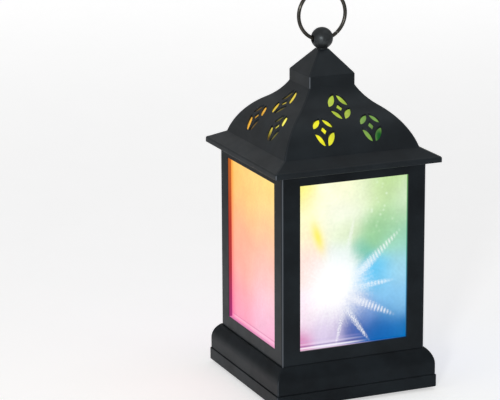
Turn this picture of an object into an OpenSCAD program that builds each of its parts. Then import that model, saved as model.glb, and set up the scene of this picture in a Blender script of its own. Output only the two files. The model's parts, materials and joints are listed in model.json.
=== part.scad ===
// Square plastic LED lantern: four lit windows, an ogee roof pierced with medallions, a cupola
// with a ball finial and a ring handle, and a moulded plinth that holds the batteries.
// The lantern stands on its feet at z = 0, centred on the Z axis. The wide window of the
// photographed side faces -Y.

/* [Body] */
// Outside width of the square body
body_w = 100; // [92:1:120]
// Wall thickness of the body frame
body_wall = 2.4; // [1.8:0.1:3]
// Radius of the body's upright corners
body_corner_r = 1.6; // [0.8:0.2:2.4]
// Width of the frame beside each window
stile_w = 12.5; // [11:0.1:18]
// Height of each window opening
window_h = 108; // [80:1:140]
// Height of the rail under each window
sill_h = 12.2; // [11:0.1:16]
// Height of the rail over each window
head_h = 12; // [11:0.1:18]
// Thickness of the window panes
pane_t = 1.5; // [1:0.1:2.5]
// How far each pane reaches past its opening at the sides and the top
pane_lap = 2; // [1:0.5:4]

/* [Roof] */
// Wall thickness of the roof shell
roof_wall = 2; // [1.4:0.1:2.6]
// Overhang of the eaves past the body
eave_overhang = 7.6; // [5:0.2:12]
// Height of the upright lip round the eaves
eave_lip_h = 3.9; // [3:0.1:6]
// Rise of the flared eaves from the lip to the foot of the dome
flare_rise = 4.8; // [3.5:0.1:7]
// How far the dome's foot stands inside the body's face
dome_inset = 3.1; // [2:0.1:5]
// Height of the curved dome from its foot to the cupola
dome_h = 37.2; // [32:0.2:46]
// Slope of the dome at its foot, in degrees
dome_foot_angle = 72; // [64:1:78]
// Outside width of the cupola
cupola_w = 32; // [28:0.5:38]
// Height of the cupola's upright sides
cupola_h = 7.6; // [5:0.2:12]
// Height of the pyramid cap
cap_h = 14.2; // [11:0.2:20]
// Width of the flat that the finial stands on
cap_top_w = 7.2; // [6.6:0.2:9]

/* [Medallions] */
// Length of one pierced petal
petal_l = 8.4; // [6:0.1:8.8]
// Width of one pierced petal
petal_w = 3.4; // [2:0.1:3.8]
// Distance of a petal's middle from the medallion's centre
petal_ring_r = 5.3; // [4.8:0.1:6]
// Side of the pierced square in the middle
medallion_square = 3.2; // [2:0.1:3.6]
// Thickness of the translucent film behind the medallions
film_t = 0.6; // [0.4:0.1:1.2]

/* [Finial and ring] */
// Diameter of the ball finial
ball_d = 14.2; // [12:0.2:18]
// Mean radius of the ring handle
ring_r = 16.2; // [14:0.2:24]
// Diameter of the ring's wire
ring_wire_d = 2.4; // [1.8:0.1:3]

/* [Base] */
// Height of the feet below the tray
foot_h = 2; // [1.2:0.2:4]
// Diameter of each foot
foot_d = 11; // [8:0.5:14]
// Height of the tray, which is the plinth's lower band
tray_h = 8.3; // [7:0.1:12]
// How far the tray stands out past the body
tray_overhang = 6.3; // [5.6:0.1:9]
// Height of the moulded plinth above the tray
plinth_h = 17.1; // [16:0.1:24]
// How far the tray stands out past the plinth
plinth_step = 0.6; // [0.2:0.1:1]
// Height of the plinth's upright part below its rounded shoulder
plinth_straight_h = 6.7; // [4:0.1:9]
// Depth to which the body sits in the plinth
body_sink = 3.4; // [2:0.1:4.4]
// Wall thickness of the plinth and the tray
base_wall = 2.2; // [1.6:0.1:2.8]

/* [Power] */
// Diameter of one AA cell
cell_d = 14.5; // [14:0.1:14.6]
// Length of one AA cell with its button
cell_l = 50.5; // [49:0.1:51]
// Travel of the slide switch
switch_travel = 3; // [2:0.2:4]
// Height of the lamp post above the deck
post_h = 30; // [24:1:50]
// Outside diameter of the lamp post and of the lens on it
post_d = 26; // [24:1:32]

/* [Hidden] */

// fits and small overlaps
cut_over = 1; // how far a cutting shape runs past what it cuts
weld = 0.4; // how far a rib or boss runs into the wall that carries it
slide_gap = 0.1; // per side, between a piece and the channel that it slides in
part_gap = 0.3; // between parts that seat without touching
pivot_gap = 0.1; // radial, between a pivot and its hole
fit_gap = 0.05; // radial, between a screw's shank and its pilot hole
hole_gap = 0.25; // radial, between a screw's shank and a clearance hole
round_fn = 48; // facets of an ordinary round
arc_steps = 10; // straight pieces in each of the dome's two arcs

// levels, from the ground up
tray_floor_t = 2;
tray_z = foot_h;
floor_top = tray_z + tray_floor_t;
plinth_z = tray_z + tray_h;
plinth_top = plinth_z + plinth_h;
deck_t = 2;
deck_top = plinth_top - body_sink;
deck_z = deck_top - deck_t;
body_h = sill_h + window_h + head_h;
body_top = deck_top + body_h;
window_z = deck_top + sill_h;

// half widths, from the axis outwards
body_half = body_w / 2;
body_in = body_half - body_wall;
window_w = body_w - 2 * stile_w;
tray_half = body_half + tray_overhang;
plinth_half = tray_half - plinth_step;
plinth_in = plinth_half - base_wall;
pocket_half = body_half + part_gap;
shoulder_rim_t = 0.6; // the plinth's top edge, round the body

// pane channels inside the body's walls
pane_half = window_w / 2 + pane_lap;
channel_d = pane_t + 2 * slide_gap;
channel_rib_t = 1.2;
channel_lip_inset = 0.5; // the lip stays this far outside the opening
ledge_t = 1.8;
ledge_drop = 2.7; // from the opening's lower edge down to the ledge
pane_z = window_z - ledge_drop;
pane_top = window_z + window_h + pane_lap;

// screws: shank radius, head radius and head height of the one size used all over
screw_r = 1.45;
screw_head_r = 2.8;
screw_head_h = 1.8;
screw_slot_w = 0.7;
screw_slot_share = 0.5; // the drive's depth, as a share of the head's height

// corner posts that carry the screws between plinth, body and roof
corner_boss_r = 3.8;
corner_c = body_in - channel_d - part_gap - corner_boss_r;
gusset_t = 2.4;
gusset_drop = 6; // from the body's top edge down to the gusset's top
roof_seat_z = body_top - gusset_drop;
body_boss_h = 10;
corner_screw_l = 10;
pilot_extra = 1.5; // how much deeper a pilot hole is than its screw
web_in = pane_half + slide_gap + channel_rib_t;

// roof profile: half width and height of its corner line
eave_half = body_half + eave_overhang;
lip_round = 0.8; // radius of the lip's two edges
lip_steps = 3; // straight pieces in each of them
cap_bevel = 0.4; // on the cupola's top edge
dome_half = body_half - dome_inset;
flare_run = eave_half - lip_round - dome_half;
flare_angle = atan2(flare_rise, flare_run);
roof_clear = 0.45; // between the body's top edge and the underside of the eaves
lip_top = body_top + roof_clear + roof_wall / cos(flare_angle)
    - (eave_half - lip_round - body_half) * tan(flare_angle);
lip_z = lip_top - eave_lip_h;
foot = [dome_half, lip_top + flare_rise];
cupola_half = cupola_w / 2;
cupola_z = foot[1] + dome_h;
// the dome turns from convex to hollow here, as shares of its width and height
inflection_shares = [0.628, 0.676];
inflection = [
    foot[0] - (foot[0] - cupola_half) * inflection_shares[0],
    foot[1] + dome_h * inflection_shares[1],
];
cupola_foot = [cupola_half, cupola_z];
cap_z = cupola_z + cupola_h;
cap_top_half = cap_top_w / 2;
cap_top = cap_z + cap_h;
cap_angle = atan2(cap_h, cupola_half - cap_top_half);
cap_floor_t = 4.6; // solid thickness under the finial
cap_ceiling = cap_top - cap_floor_t;

// medallions: places on one roof face, in plan, as shares of the dome's half width
medallion_shares = [[0, 0.559], [-0.348, 0.816], [0.348, 0.816]];
medallion_places = medallion_shares * dome_half;
medallion_rises = [1.15, 0.89, 0.89]; // how far each reaches up the slope, as a share of its width in plan

// film behind the medallions
film_gap = 0.2;
film_edge = 2; // kept clear of the neighbouring film and of the dome's ends
film_half_w = corner_c - corner_boss_r - part_gap;

// finial and ring
ball_sink = 0.4; // how far the ball would reach into the cap without its flat
ball_z = cap_top + ball_d / 2 - ball_sink;
neck_r = cap_top_half - part_gap;
wire_r = ring_wire_d / 2;
ring_drop = 0.9; // the wire's lowest point, below the hinge line
ring_bore_r = ring_drop + wire_r + part_gap;
ring_z = ball_z - ring_drop + ring_r;
washer_r = 3.6;
washer_t = 0.8;
finial_screw_l = ball_z - ring_bore_r - part_gap - cap_ceiling;

// tray, battery bay and door
tab_t = 1.2;
tab_w = 10;
tab_rise = 3; // above the tray's rim
tab_place_share = 0.3; // from the middle of a side, as a share of the half width
tray_screw_inset = 8; // from the tray's inner wall
tray_screw_share = 0.48; // from the middle of the side, as a share of the body's half width
tray_screw_c = [tray_half - base_wall - tray_screw_inset, body_half * tray_screw_share];
tray_boss_r = 4.6;
tray_boss_h = 4.4;
counterbore_r = screw_head_r + part_gap;
counterbore_h = 2.4;
plinth_boss_r = 3.4;
tray_screw_l = 10;
chamfer = 0.4;
cell_r = cell_d / 2;
cell_button_r = 2.75;
cell_button_h = 1;
cell_gap = 0.7;
cell_pitch = cell_d + cell_gap;
cell_count = 3;
cell_z = floor_top + part_gap + cell_r;
contact_t = 0.4;
contact_half = 5.8; // half the contact's height
spring_l = 6.2;
bay_l = cell_l + spring_l + 2 * contact_t;
bay_w = cell_count * cell_pitch;
bay_place_share = 0.4; // its middle, as a share of the body's half width towards +Y
bay_y = body_half * bay_place_share;
bay_wall = 1.6;
bay_top = cell_z + cell_r + part_gap;
bay_roof_t = 1.4;
door_t = tray_floor_t;
door_gap = 0.3;
knuckle_r = 1.6;
pivot_r = 1;
pivot_hole_r = pivot_r + pivot_gap;
pivot_l = 1.4;
pivot_y = bay_y + bay_w / 2 - door_gap - knuckle_r;
pivot_z = tray_z + knuckle_r;
tongue_w = 12;
tongue_l = 7;
tongue_slot = 0.8;
snap_r = 0.2; // ridge along the tongue's end
thumb_r = 7;
thumb_d = 1.2;

// circuit board and switch
board_size = [40, 24, 1.6];
board_place_share = -0.6; // its middle, as a share of the body's half width
board_c = [0, body_half * board_place_share];
standoff_h = 6.4;
board_z = floor_top + standoff_h;
board_top = board_z + board_size[2];
standoff_r = 2.6;
standoff_inset = 3.5; // from the board's ends
standoff_x = board_size[0] / 2 - standoff_inset;
board_screw_r = 1;
board_screw_head_r = 1.9;
board_screw_head_h = 1.2;
board_screw_l = 5;
switch_size = [12.6, 6.4, 4.6];
switch_wall = 0.5;
knob_size = [3.4, 3.4];
knob_plate = [5.6, 4.8, 1.2];
knob_out = 0.9; // how far the knob stands out under the tray
chip_r = 4.4;
chip_h = 1.6;
chip_shares = [0.22, -0.16];
resistor_size = [3.2, 1.6, 0.8];
resistor_shares = [[-0.28, 0.3], [-0.28, 0.16], [0.24, 0.3], [0.24, 0.16]];
capacitor_r = 2.5;
capacitor_h = 7.5;
capacitor_shares = [-0.18, -0.3];

// lamp post, its board, its LEDs and its lens
post_r = post_d / 2;
post_wall = 1.6;
flange_out = 5;
flange_r = post_r + flange_out;
flange_t = 2;
lamp_boss_r = 2.4;
lamp_screw_r = flange_r - lamp_boss_r;
lamp_boss_h = 6;
lamp_screw_l = 6;
lamp_pilot_extra = 0.6;
peg_r = 1.4;
lead_hole_r = 2.8;
lead_hole_y = -post_r + post_wall + lead_hole_r + part_gap;
led_ledge_t = 1.6;
led_ledge_w = 1.4;
led_board_t = 1.6;
led_board_drop = 2; // from the post's top edge down to the board
led_board_r = post_r - post_wall - part_gap;
led_board_z = deck_top + post_h - led_board_drop - led_board_t;
lens_wall = 1.6;
lens_lip_r = led_board_r;
lens_bore_r = lens_lip_r - lens_wall;
lens_lip_h = led_board_drop - part_gap;
lens_z = deck_top + post_h;
lens_fn = 12; // facets round the lens
led_r = 2.5;
led_flange_r = 2.9;
led_flange_h = 1;
led_body_h = 4;
led_ring_r = lens_bore_r - led_flange_r - 2 * part_gap;
led_pin_r = 0.3;
led_pin_pitch = 2.54;
led_pin_out = 0.6; // how far the pins stand out under the board
led_pin_l = led_board_t + led_pin_out;

// leads
lead_r = 0.6;
lead_sides = 8;
lead_rings_per_span = 6;

// where leads meet the circuit board, as shares of its size from its middle
battery_pad_share = [0.42, 0.36];
lamp_pad_share = 0.4;
led_pad_share = 0.3; // of the LEDs' ring

// contact springs
spring_wire_r = 0.4;
spring_big_r = 4.4;
spring_small_r = 2.9;
spring_turns = 4;
spring_sides = 6;
spring_rings = 8;

// points on the arc from p to q that leaves p at angle a, without p itself
function arc_to(p, q, a, n) =
    let (d = q - p, h = atan2(d[1], d[0]) - a, r = norm(d) / (2 * sin(h)))
    [for (i = [1:n]) p + r * [sin(a + 2 * h * i / n) - sin(a), cos(a) - cos(a + 2 * h * i / n)]];

// tangent angles at the dome's foot, at its inflection and at the cupola
dome_a0 = 180 - dome_foot_angle;
dome_a1 = 2 * atan2(inflection[1] - foot[1], inflection[0] - foot[0]) - dome_a0;
dome_a2 = 2 * atan2(cupola_z - inflection[1], cupola_half - inflection[0]) - dome_a1;

// a point moved square to its tangent, into the roof, by d
function inwards(p, a, d) = p + d * [-sin(a), cos(a)];

// the dome's curve from foot to cupola, moved into the roof by d
function dome_curve(d) =
    let (p0 = inwards(foot, dome_a0, d), p1 = inwards(inflection, dome_a1, d),
        p2 = inwards(cupola_foot, dome_a2, d))
    concat([p0], arc_to(p0, p1, dome_a0, arc_steps), arc_to(p1, p2, dome_a1, arc_steps));

// a closed outline from a list of [half width, height] points, lowest first
function both_sides(points) =
    concat(points, [for (i = [len(points) - 1:-1:0]) [-points[i][0], points[i][1]]]);

// a solid with a square plan whose half width follows the list of points
module square_turned(points) {
    reach = 2 * max([for (p = points) p[0]]) + cut_over;
    intersection() {
        rotate([90, 0, 0]) linear_extrude(reach, center = true) polygon(both_sides(points));
        rotate([90, 0, 90]) linear_extrude(reach, center = true) polygon(both_sides(points));
    }
}

module square_block(half, z0, z1) {
    translate([-half, -half, z0]) cube([2 * half, 2 * half, z1 - z0]);
}

module rounded_block(half, r, z0, z1) {
    translate([0, 0, z0]) linear_extrude(z1 - z0) {
        square([2 * half, 2 * (half - r)], center = true);
        square([2 * (half - r), 2 * half], center = true);
        for (sx = [-1, 1], sy = [-1, 1])
            translate([sx * (half - r), sy * (half - r)]) circle(r, $fn = round_fn);
    }
}

module at_corners(c) {
    for (sx = [-1, 1], sy = [-1, 1]) translate([sx * c[0], sy * c[1], 0]) children();
}

module on_sides() {
    for (k = [0:3]) rotate(90 * k) children();
}

module rod(r, z0, z1) {
    translate([0, 0, z0]) cylinder(r = r, h = z1 - z0, $fn = round_fn);
}

// pan-head screw with a crossed drive, pointing up, its head's underside at z = 0
module pan_screw(r, head_r, head_h, l) {
    difference() {
        union() {
            rod(r, -weld, l);
            rod(head_r, -head_h, 0);
        }
        for (a = [0, 90]) rotate(a)
            translate([-head_r / 2, -screw_slot_w / 2, -head_h - cut_over])
                cube([head_r, screw_slot_w, head_h * screw_slot_share + cut_over]);
    }
}

module body_frame() {
    color("#26282a") {
        difference() {
            rounded_block(body_half, body_corner_r, deck_top, body_top);
            square_block(body_in, deck_top - cut_over, body_top + cut_over);
            for (a = [0, 90]) rotate(a)
                translate([-window_w / 2, -body_half - cut_over, window_z])
                    cube([window_w, body_w + 2 * cut_over, window_h]);
        }
        on_sides() {
            pane_channel();
            corner_post();
        }
    }
}

// the U-shaped channels and the ledge that hold the pane of the side facing -Y
module pane_channel() {
    deep = channel_d + channel_rib_t;
    for (s = [0, 1]) mirror([s, 0, 0]) {
        translate([pane_half + slide_gap, -body_in - weld, pane_z - ledge_t])
            cube([channel_rib_t, deep + weld, pane_top - pane_z + ledge_t]);
        translate([window_w / 2 + channel_lip_inset, -body_in + channel_d, pane_z - ledge_t])
            cube([pane_lap - channel_lip_inset + slide_gap + channel_rib_t, channel_rib_t,
                pane_top - pane_z + ledge_t]);
    }
    translate([-pane_half - slide_gap, -body_in - weld, pane_z - ledge_t])
        cube([2 * (pane_half + slide_gap), deep + weld, ledge_t]);
}

// the lower screw boss and the upper gusset in the corner at +X, +Y
module corner_post() {
    difference() {
        for (z = [[deck_top, deck_top + body_boss_h], [roof_seat_z - gusset_t, roof_seat_z]]) {
            translate([corner_c, corner_c, 0]) rod(corner_boss_r, z[0], z[1]);
            translate([web_in, web_in, z[0]])
                cube([body_in - web_in + weld, body_in - web_in + weld, z[1] - z[0]]);
            intersection() {
                translate([corner_c, corner_c, z[0]]) rotate(45)
                    translate([0, -corner_boss_r / 2, 0])
                        cube([body_in, corner_boss_r, z[1] - z[0]]);
                square_block(body_in - channel_d - part_gap, z[0], z[1]);
            }
        }
        translate([corner_c, corner_c, 0]) {
            rod(screw_r + fit_gap, deck_top - cut_over,
                deck_top + corner_screw_l - deck_t + pilot_extra);
            rod(screw_r + hole_gap, roof_seat_z - gusset_t - cut_over, roof_seat_z + cut_over);
        }
    }
}

module pane(shade) {
    color(shade, 0.6)
        translate([-pane_half, -body_in + slide_gap, pane_z])
            cube([2 * pane_half, pane_t, pane_top - pane_z]);
}

// the roof's outside line, from the eaves' lower edge to the finial's seat
lip_start = [eave_half - lip_round, lip_z];
lip_turn = [eave_half, lip_top - lip_round];
roof_outside = concat(
    [lip_start],
    arc_to(lip_start, [eave_half, lip_z + lip_round], 0, lip_steps),
    [lip_turn],
    arc_to(lip_turn, [eave_half - lip_round, lip_top], 90, lip_steps),
    dome_curve(0),
    [
        [cupola_half, cap_z - cap_bevel],
        [cupola_half - cap_bevel / tan(cap_angle), cap_z + cap_bevel / 2],
        [cap_top_half, cap_top],
    ]
);

// the hollow's line: eaves, dome, cupola and cap, each a wall's thickness inside the roof
flare_in = inwards(foot, 180 - flare_angle, roof_wall);
lip_in = eave_half - roof_wall;
cap_turn = roof_wall * tan((90 - cap_angle) / 2);
cap_in_half = cupola_half - roof_wall - (cap_ceiling - cap_z + cap_turn) / tan(cap_angle);
roof_inside = concat(
    [
        [lip_in, lip_z - cut_over],
        [lip_in, flare_in[1] - (lip_in - flare_in[0]) * tan(flare_angle)],
        flare_in,
    ],
    dome_curve(roof_wall),
    [
        [cupola_half - roof_wall, cupola_z],
        [cupola_half - roof_wall, cap_z - cap_turn],
        [cap_in_half, cap_ceiling],
    ]
);

// a pointed petal between two arcs, its long way along X
module petal() {
    arc_r = (petal_l * petal_l + petal_w * petal_w) / (4 * petal_w);
    intersection() {
        translate([0, arc_r - petal_w / 2]) circle(arc_r, $fn = round_fn);
        translate([0, petal_w / 2 - arc_r]) circle(arc_r, $fn = round_fn);
    }
}

// four petals round a square, in plan
module medallion() {
    rotate(45) {
        on_sides() translate([0, -petal_ring_r]) petal();
        square(medallion_square, center = true);
    }
}

module roof_shell() {
    color("#26282a") difference() {
        union() {
            difference() {
                square_turned(roof_outside);
                square_turned(roof_inside);
            }
            intersection() {
                at_corners([corner_c, corner_c]) rod(corner_boss_r, roof_seat_z, cupola_z);
                union() {
                    square_turned(roof_outside);
                    square_block(body_half, roof_seat_z - cut_over, lip_top);
                }
            }
        }
        at_corners([corner_c, corner_c])
            rod(screw_r + fit_gap, roof_seat_z - cut_over,
                roof_seat_z - gusset_t + corner_screw_l + pilot_extra);
        rod(screw_r + hole_gap, cap_ceiling - cut_over, cap_top + cut_over);
        on_sides() for (k = [0:len(medallion_places) - 1])
            translate([medallion_places[k][0], -medallion_places[k][1], lip_top])
                linear_extrude(cap_z - lip_top) scale([1, medallion_rises[k]]) medallion();
    }
}

// translucent film, bent to the dome's underside, behind the medallions facing -Y
module roof_film() {
    near = dome_curve(roof_wall + film_gap);
    far = dome_curve(roof_wall + film_gap + film_t);
    sides = dome_curve(roof_wall + film_gap + film_t + film_edge);
    last = len(far) - 1;
    low = sides[0][1] + film_edge / 2;
    color("#cfdc57", 0.8) intersection() {
        rotate([90, 0, 90]) linear_extrude(body_w, center = true)
            polygon(concat(
                [for (p = near) [-p[0], p[1]]],
                [for (i = [last:-1:0]) [-far[i][0], far[i][1]]]
            ));
        rotate([90, 0, 0]) linear_extrude(body_w + 2 * cut_over, center = true)
            polygon(both_sides([for (p = sides) [min(p[0], film_half_w), p[1]]]));
        translate([-body_half, -body_half, low]) cube([body_w, body_w, cupola_z - low]);
    }
}

module roof_screws() {
    color("silver") at_corners([corner_c, corner_c])
        translate([0, 0, roof_seat_z - gusset_t])
            pan_screw(screw_r, screw_head_r, screw_head_h, corner_screw_l);
}

module finial_ball() {
    color("#2b2d2f") translate([0, 0, ball_z]) difference() {
        union() {
            sphere(d = ball_d, $fn = round_fn);
            rod(neck_r, cap_top - ball_z, -ball_d / 4);
        }
        rod(ball_d, -ball_d, cap_top - ball_z);
        rod(screw_r + fit_gap, cap_top - ball_z - cut_over,
            cap_ceiling - washer_t + finial_screw_l - ball_z + part_gap);
        rotate([0, 90, 0]) rod(ring_bore_r, -ball_d, ball_d);
    }
}

module finial_washer() {
    color("silver") difference() {
        rod(washer_r, cap_ceiling - washer_t, cap_ceiling);
        rod(screw_r + hole_gap, cap_ceiling - washer_t - cut_over, cap_ceiling + cut_over);
    }
}

module finial_screw() {
    color("silver") translate([0, 0, cap_ceiling - washer_t])
        pan_screw(screw_r, screw_head_r, screw_head_h, finial_screw_l);
}

module ring_handle() {
    color("#2f3133") translate([0, 0, ring_z]) rotate([90, 0, 0])
        rotate_extrude($fn = round_fn) translate([ring_r, 0]) circle(wire_r, $fn = round_fn);
}

// the plinth's outside line, with a rounded shoulder up to the body
shoulder_half = pocket_half + shoulder_rim_t;
shoulder_foot = [plinth_half, plinth_z + plinth_straight_h];
plinth_outside = concat(
    [[plinth_half - chamfer, plinth_z], [plinth_half, plinth_z + chamfer], shoulder_foot],
    arc_to(shoulder_foot, [shoulder_half, plinth_top], 90, arc_steps)
);

module plinth() {
    color("#26282a") difference() {
        union() {
            difference() {
                square_turned(plinth_outside);
                square_block(plinth_in, plinth_z - cut_over, deck_z);
            }
            at_corners(tray_screw_c) rod(plinth_boss_r, tray_z + tray_boss_h, deck_z + weld);
        }
        square_block(pocket_half, deck_top, plinth_top + cut_over);
        at_corners([corner_c, corner_c])
            rod(screw_r + hole_gap, deck_z - cut_over, deck_top + cut_over);
        at_corners(tray_screw_c)
            rod(screw_r + fit_gap, tray_z + tray_boss_h - cut_over,
                tray_z + counterbore_h + tray_screw_l + pilot_extra);
        lamp_fixings() rod(screw_r + hole_gap, deck_z - cut_over, deck_top + cut_over);
        mirror([0, 1, 0]) lamp_fixings() rod(peg_r + fit_gap, deck_z - cut_over, deck_top + cut_over);
        translate([0, lead_hole_y, 0]) rod(lead_hole_r, deck_z - cut_over, deck_top + cut_over);
    }
}

// places of the two lamp screws, in front of the battery bay
module lamp_fixings() {
    for (a = [-135, -45])
        translate([lamp_screw_r * cos(a), lamp_screw_r * sin(a), 0]) children();
}

module body_screws() {
    color("silver") at_corners([corner_c, corner_c]) translate([0, 0, deck_z])
        pan_screw(screw_r, screw_head_r, screw_head_h, corner_screw_l);
}

module tray_screws() {
    color("silver") at_corners(tray_screw_c) translate([0, 0, tray_z + counterbore_h])
        pan_screw(screw_r, screw_head_r, screw_head_h, tray_screw_l);
}

module base_tray() {
    color("#26282a") difference() {
        union() {
            tray_shell();
            at_corners(tray_screw_c) rod(tray_boss_r, floor_top - weld, tray_z + tray_boss_h);
            battery_bay();
            for (s = [-1, 1]) translate([board_c[0] + s * standoff_x, board_c[1], 0])
                rod(standoff_r, floor_top - weld, board_z);
        }
        at_corners(tray_screw_c) {
            rod(counterbore_r, tray_z - cut_over, tray_z + counterbore_h);
            rod(screw_r + hole_gap, tray_z, tray_z + tray_boss_h + cut_over);
        }
        translate([-bay_l / 2, bay_y - bay_w / 2, tray_z - cut_over])
            cube([bay_l, bay_w, bay_top - tray_z + cut_over]);
        translate([0, pivot_y, pivot_z]) rotate([0, 90, 0])
            rod(pivot_hole_r, -bay_l / 2 - bay_wall, bay_l / 2 + bay_wall);
        translate([0, bay_y - bay_w / 2, tray_z - cut_over])
            cylinder(r = thumb_r, h = thumb_d + cut_over, $fn = round_fn);
        for (s = [-1, 1]) translate([board_c[0] + s * standoff_x, board_c[1], 0])
            rod(board_screw_r + fit_gap, floor_top, board_z + cut_over);
        translate([board_c[0], board_c[1], tray_z + tray_floor_t / 2])
            cube([knob_size[0] + switch_travel + 2 * part_gap, knob_size[1] + 2 * part_gap,
                tray_floor_t + 2 * cut_over], center = true);
        for (end = lead_ends) translate(end) rotate([0, 90 * sign(end[0]), 0])
            rod(lead_r + part_gap, -cut_over, bay_wall + cut_over);
    }
}

// floor, chamfered rim and locating tabs
module tray_shell() {
    difference() {
        square_turned([
            [tray_half - chamfer, tray_z],
            [tray_half, tray_z + chamfer],
            [tray_half, plinth_z - chamfer],
            [tray_half - chamfer, plinth_z],
        ]);
        square_block(tray_half - base_wall, floor_top, plinth_z + cut_over);
    }
    on_sides() for (s = [-1, 1])
        translate([s * tray_half * tab_place_share - tab_w / 2, -plinth_in + part_gap, floor_top - weld])
            cube([tab_w, tab_t, plinth_z - floor_top + tab_rise + weld]);
}

module battery_bay() {
    translate([-bay_l / 2 - bay_wall, bay_y - bay_w / 2 - bay_wall, floor_top - weld])
        cube([bay_l + 2 * bay_wall, bay_w + 2 * bay_wall, bay_top + bay_roof_t - floor_top + weld]);
}

module rubber_foot() {
    color("#3a3a3c") {
        rod(foot_d / 2 - chamfer, 0, foot_h);
        rod(foot_d / 2, chamfer, foot_h);
    }
}

foot_c = corner_c + corner_boss_r;

module battery_door() {
    edge = bay_y - bay_w / 2 + door_gap;
    half_l = bay_l / 2 - door_gap;
    color("#2b2d2f") difference() {
        union() {
            translate([-half_l, edge, tray_z]) cube([2 * half_l, pivot_y - edge, door_t]);
            translate([0, pivot_y, pivot_z]) rotate([0, 90, 0]) {
                rod(knuckle_r, -half_l, half_l);
                rod(pivot_r, -bay_l / 2 - pivot_l, bay_l / 2 + pivot_l);
            }
            translate([0, edge, tray_z + door_t / 2]) rotate([0, 90, 0])
                rod(snap_r, -tongue_w / 2, tongue_w / 2);
        }
        for (s = [-1, 1]) translate([s * tongue_w / 2, edge + tongue_l / 2, tray_z + door_t / 2])
            cube([tongue_slot, tongue_l + cut_over, door_t + 2 * cut_over], center = true);
    }
}

// the middle of cell i, across the bay
function cell_y(i) = bay_y + (i - (cell_count - 1) / 2) * cell_pitch;

// one cell lying along X, its button towards -X when way is 1 and towards +X when way is -1
module battery(i, way) {
    start = -bay_l / 2 + contact_t;
    color("#a8963f") translate([0, cell_y(i), cell_z]) mirror([way < 0 ? 1 : 0, 0, 0])
        rotate([0, 90, 0]) {
            rod(cell_r - chamfer, start + cell_button_h, start + cell_l);
            rod(cell_r, start + cell_button_h + chamfer, start + cell_l - chamfer);
            rod(cell_button_r, start, start + cell_l / 2);
        }
}

// a spring-steel contact over cells i to j, on the bay's end wall at -X (way 1) or +X (way -1)
module contact(i, j, way) {
    color("#c9cbcd") mirror([way < 0 ? 1 : 0, 0, 0])
        translate([-bay_l / 2, cell_y(i) - contact_half, cell_z - contact_half])
            cube([contact_t, cell_y(j) - cell_y(i) + 2 * contact_half, 2 * contact_half]);
}

// a conical coil from the contact towards the cell, which stops just short of the cell's end
spring_reach = spring_l - 2 * spring_wire_r - 2 * slide_gap;
spring_steps = spring_turns * spring_rings;
spring_path = [
    for (k = [0:spring_steps])
        let (t = k / spring_steps, turn = 360 * spring_turns * t,
            r = spring_big_r + (spring_small_r - spring_big_r) * t)
        [spring_wire_r + slide_gap + spring_reach * t, r * cos(turn), r * sin(turn)],
];
spring_turn_gap = min([
    for (i = [0:spring_steps], j = [0:spring_steps])
        if (j - i > spring_rings / 2) norm(spring_path[j] - spring_path[i])
]) - 2 * spring_wire_r;
echo(spring_turn_gap = spring_turn_gap);

module contact_spring(i, way) {
    mirror([way < 0 ? 1 : 0, 0, 0]) translate([-bay_l / 2 + contact_t, cell_y(i), cell_z])
        tube_along(spring_path, spring_wire_r, spring_sides, [1, 0, 0]);
}

module contact_springs() {
    color("#c9cbcd") {
        contact_spring(0, -1);
        contact_spring(1, 1);
        contact_spring(2, -1);
    }
}

// a round tube through a list of points; side is a direction that no stretch runs along
module tube_along(path, r, sides, side) {
    last = len(path) - 1;
    rings = [for (k = [0:last])
        let (
            along = path[min(k + 1, last)] - path[max(k - 1, 0)],
            u = cross(along, side) / norm(cross(along, side)),
            v = cross(along, u) / norm(cross(along, u))
        )
        for (m = [0:sides - 1]) path[k] + r * (cos(360 * m / sides) * u + sin(360 * m / sides) * v)];
    faces = concat(
        [for (m = [1:sides - 2]) [0, m, m + 1]],
        [for (k = [0:last - 1], m = [0:sides - 1], half = [0, 1])
            let (a = k * sides + m, b = k * sides + (m + 1) % sides)
            half == 0 ? [a, b + sides, b] : [a, a + sides, b + sides]],
        [for (m = [1:sides - 2]) [last * sides, last * sides + m + 1, last * sides + m]]
    );
    polyhedron(rings, faces);
}

// a smooth path through a list of points, n steps to each span
function smooth(points, n) =
    let (last = len(points) - 1)
    concat([for (i = [0:last - 1], k = [0:n - 1])
        let (
            t = k / n,
            a = points[max(i - 1, 0)], b = points[i], c = points[i + 1], d = points[min(i + 2, last)]
        )
        (2 * b + (c - a) * t + (2 * a - 5 * b + 4 * c - d) * t * t
            + (3 * b - a - 3 * c + d) * t * t * t) / 2], [points[last]]);

// a lead's path: straight at both ends, so that they meet what carries them squarely
function lead_path(points) =
    let (last = len(points) - 1)
    concat([points[0]], smooth([for (i = [1:last - 1]) points[i]], lead_rings_per_span), [points[last]]);

// where the two battery leads meet their contacts, and where they meet the circuit board
lead_ends = [
    [-bay_l / 2, bay_y - cell_pitch, cell_z + cell_r / 2],
    [bay_l / 2, bay_y + cell_pitch, cell_z + cell_r / 2],
];
lead_pads = [for (s = [-1, 1]) [
    board_c[0] + s * board_size[0] * battery_pad_share[0],
    board_c[1] + board_size[1] * battery_pad_share[1],
    board_top,
]];
lead_clear = bay_wall + 2 * lead_r + part_gap; // from the contact to a lead beside the bay
lead_lift = 4 * lead_r; // how high a lead stands off the board before it bends

module battery_lead_red() {
    e = lead_ends[0];
    p = lead_pads[0];
    path = [
        e,
        e - [lead_clear / 2, 0, 0],
        e - [lead_clear, lead_clear / 2, 0],
        [e[0] - lead_clear, bay_y - bay_w / 2, (e[2] + p[2] + lead_lift) / 2],
        [(e[0] + p[0]) / 2 - lead_clear, p[1] + lead_clear, p[2] + lead_lift],
        p + [0, 0, lead_lift],
        p + [0, 0, lead_lift / 2],
        p,
    ];
    color("#b0201c") tube_along(lead_path(path), lead_r, lead_sides, [-2, 1, 0]);
}

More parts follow.
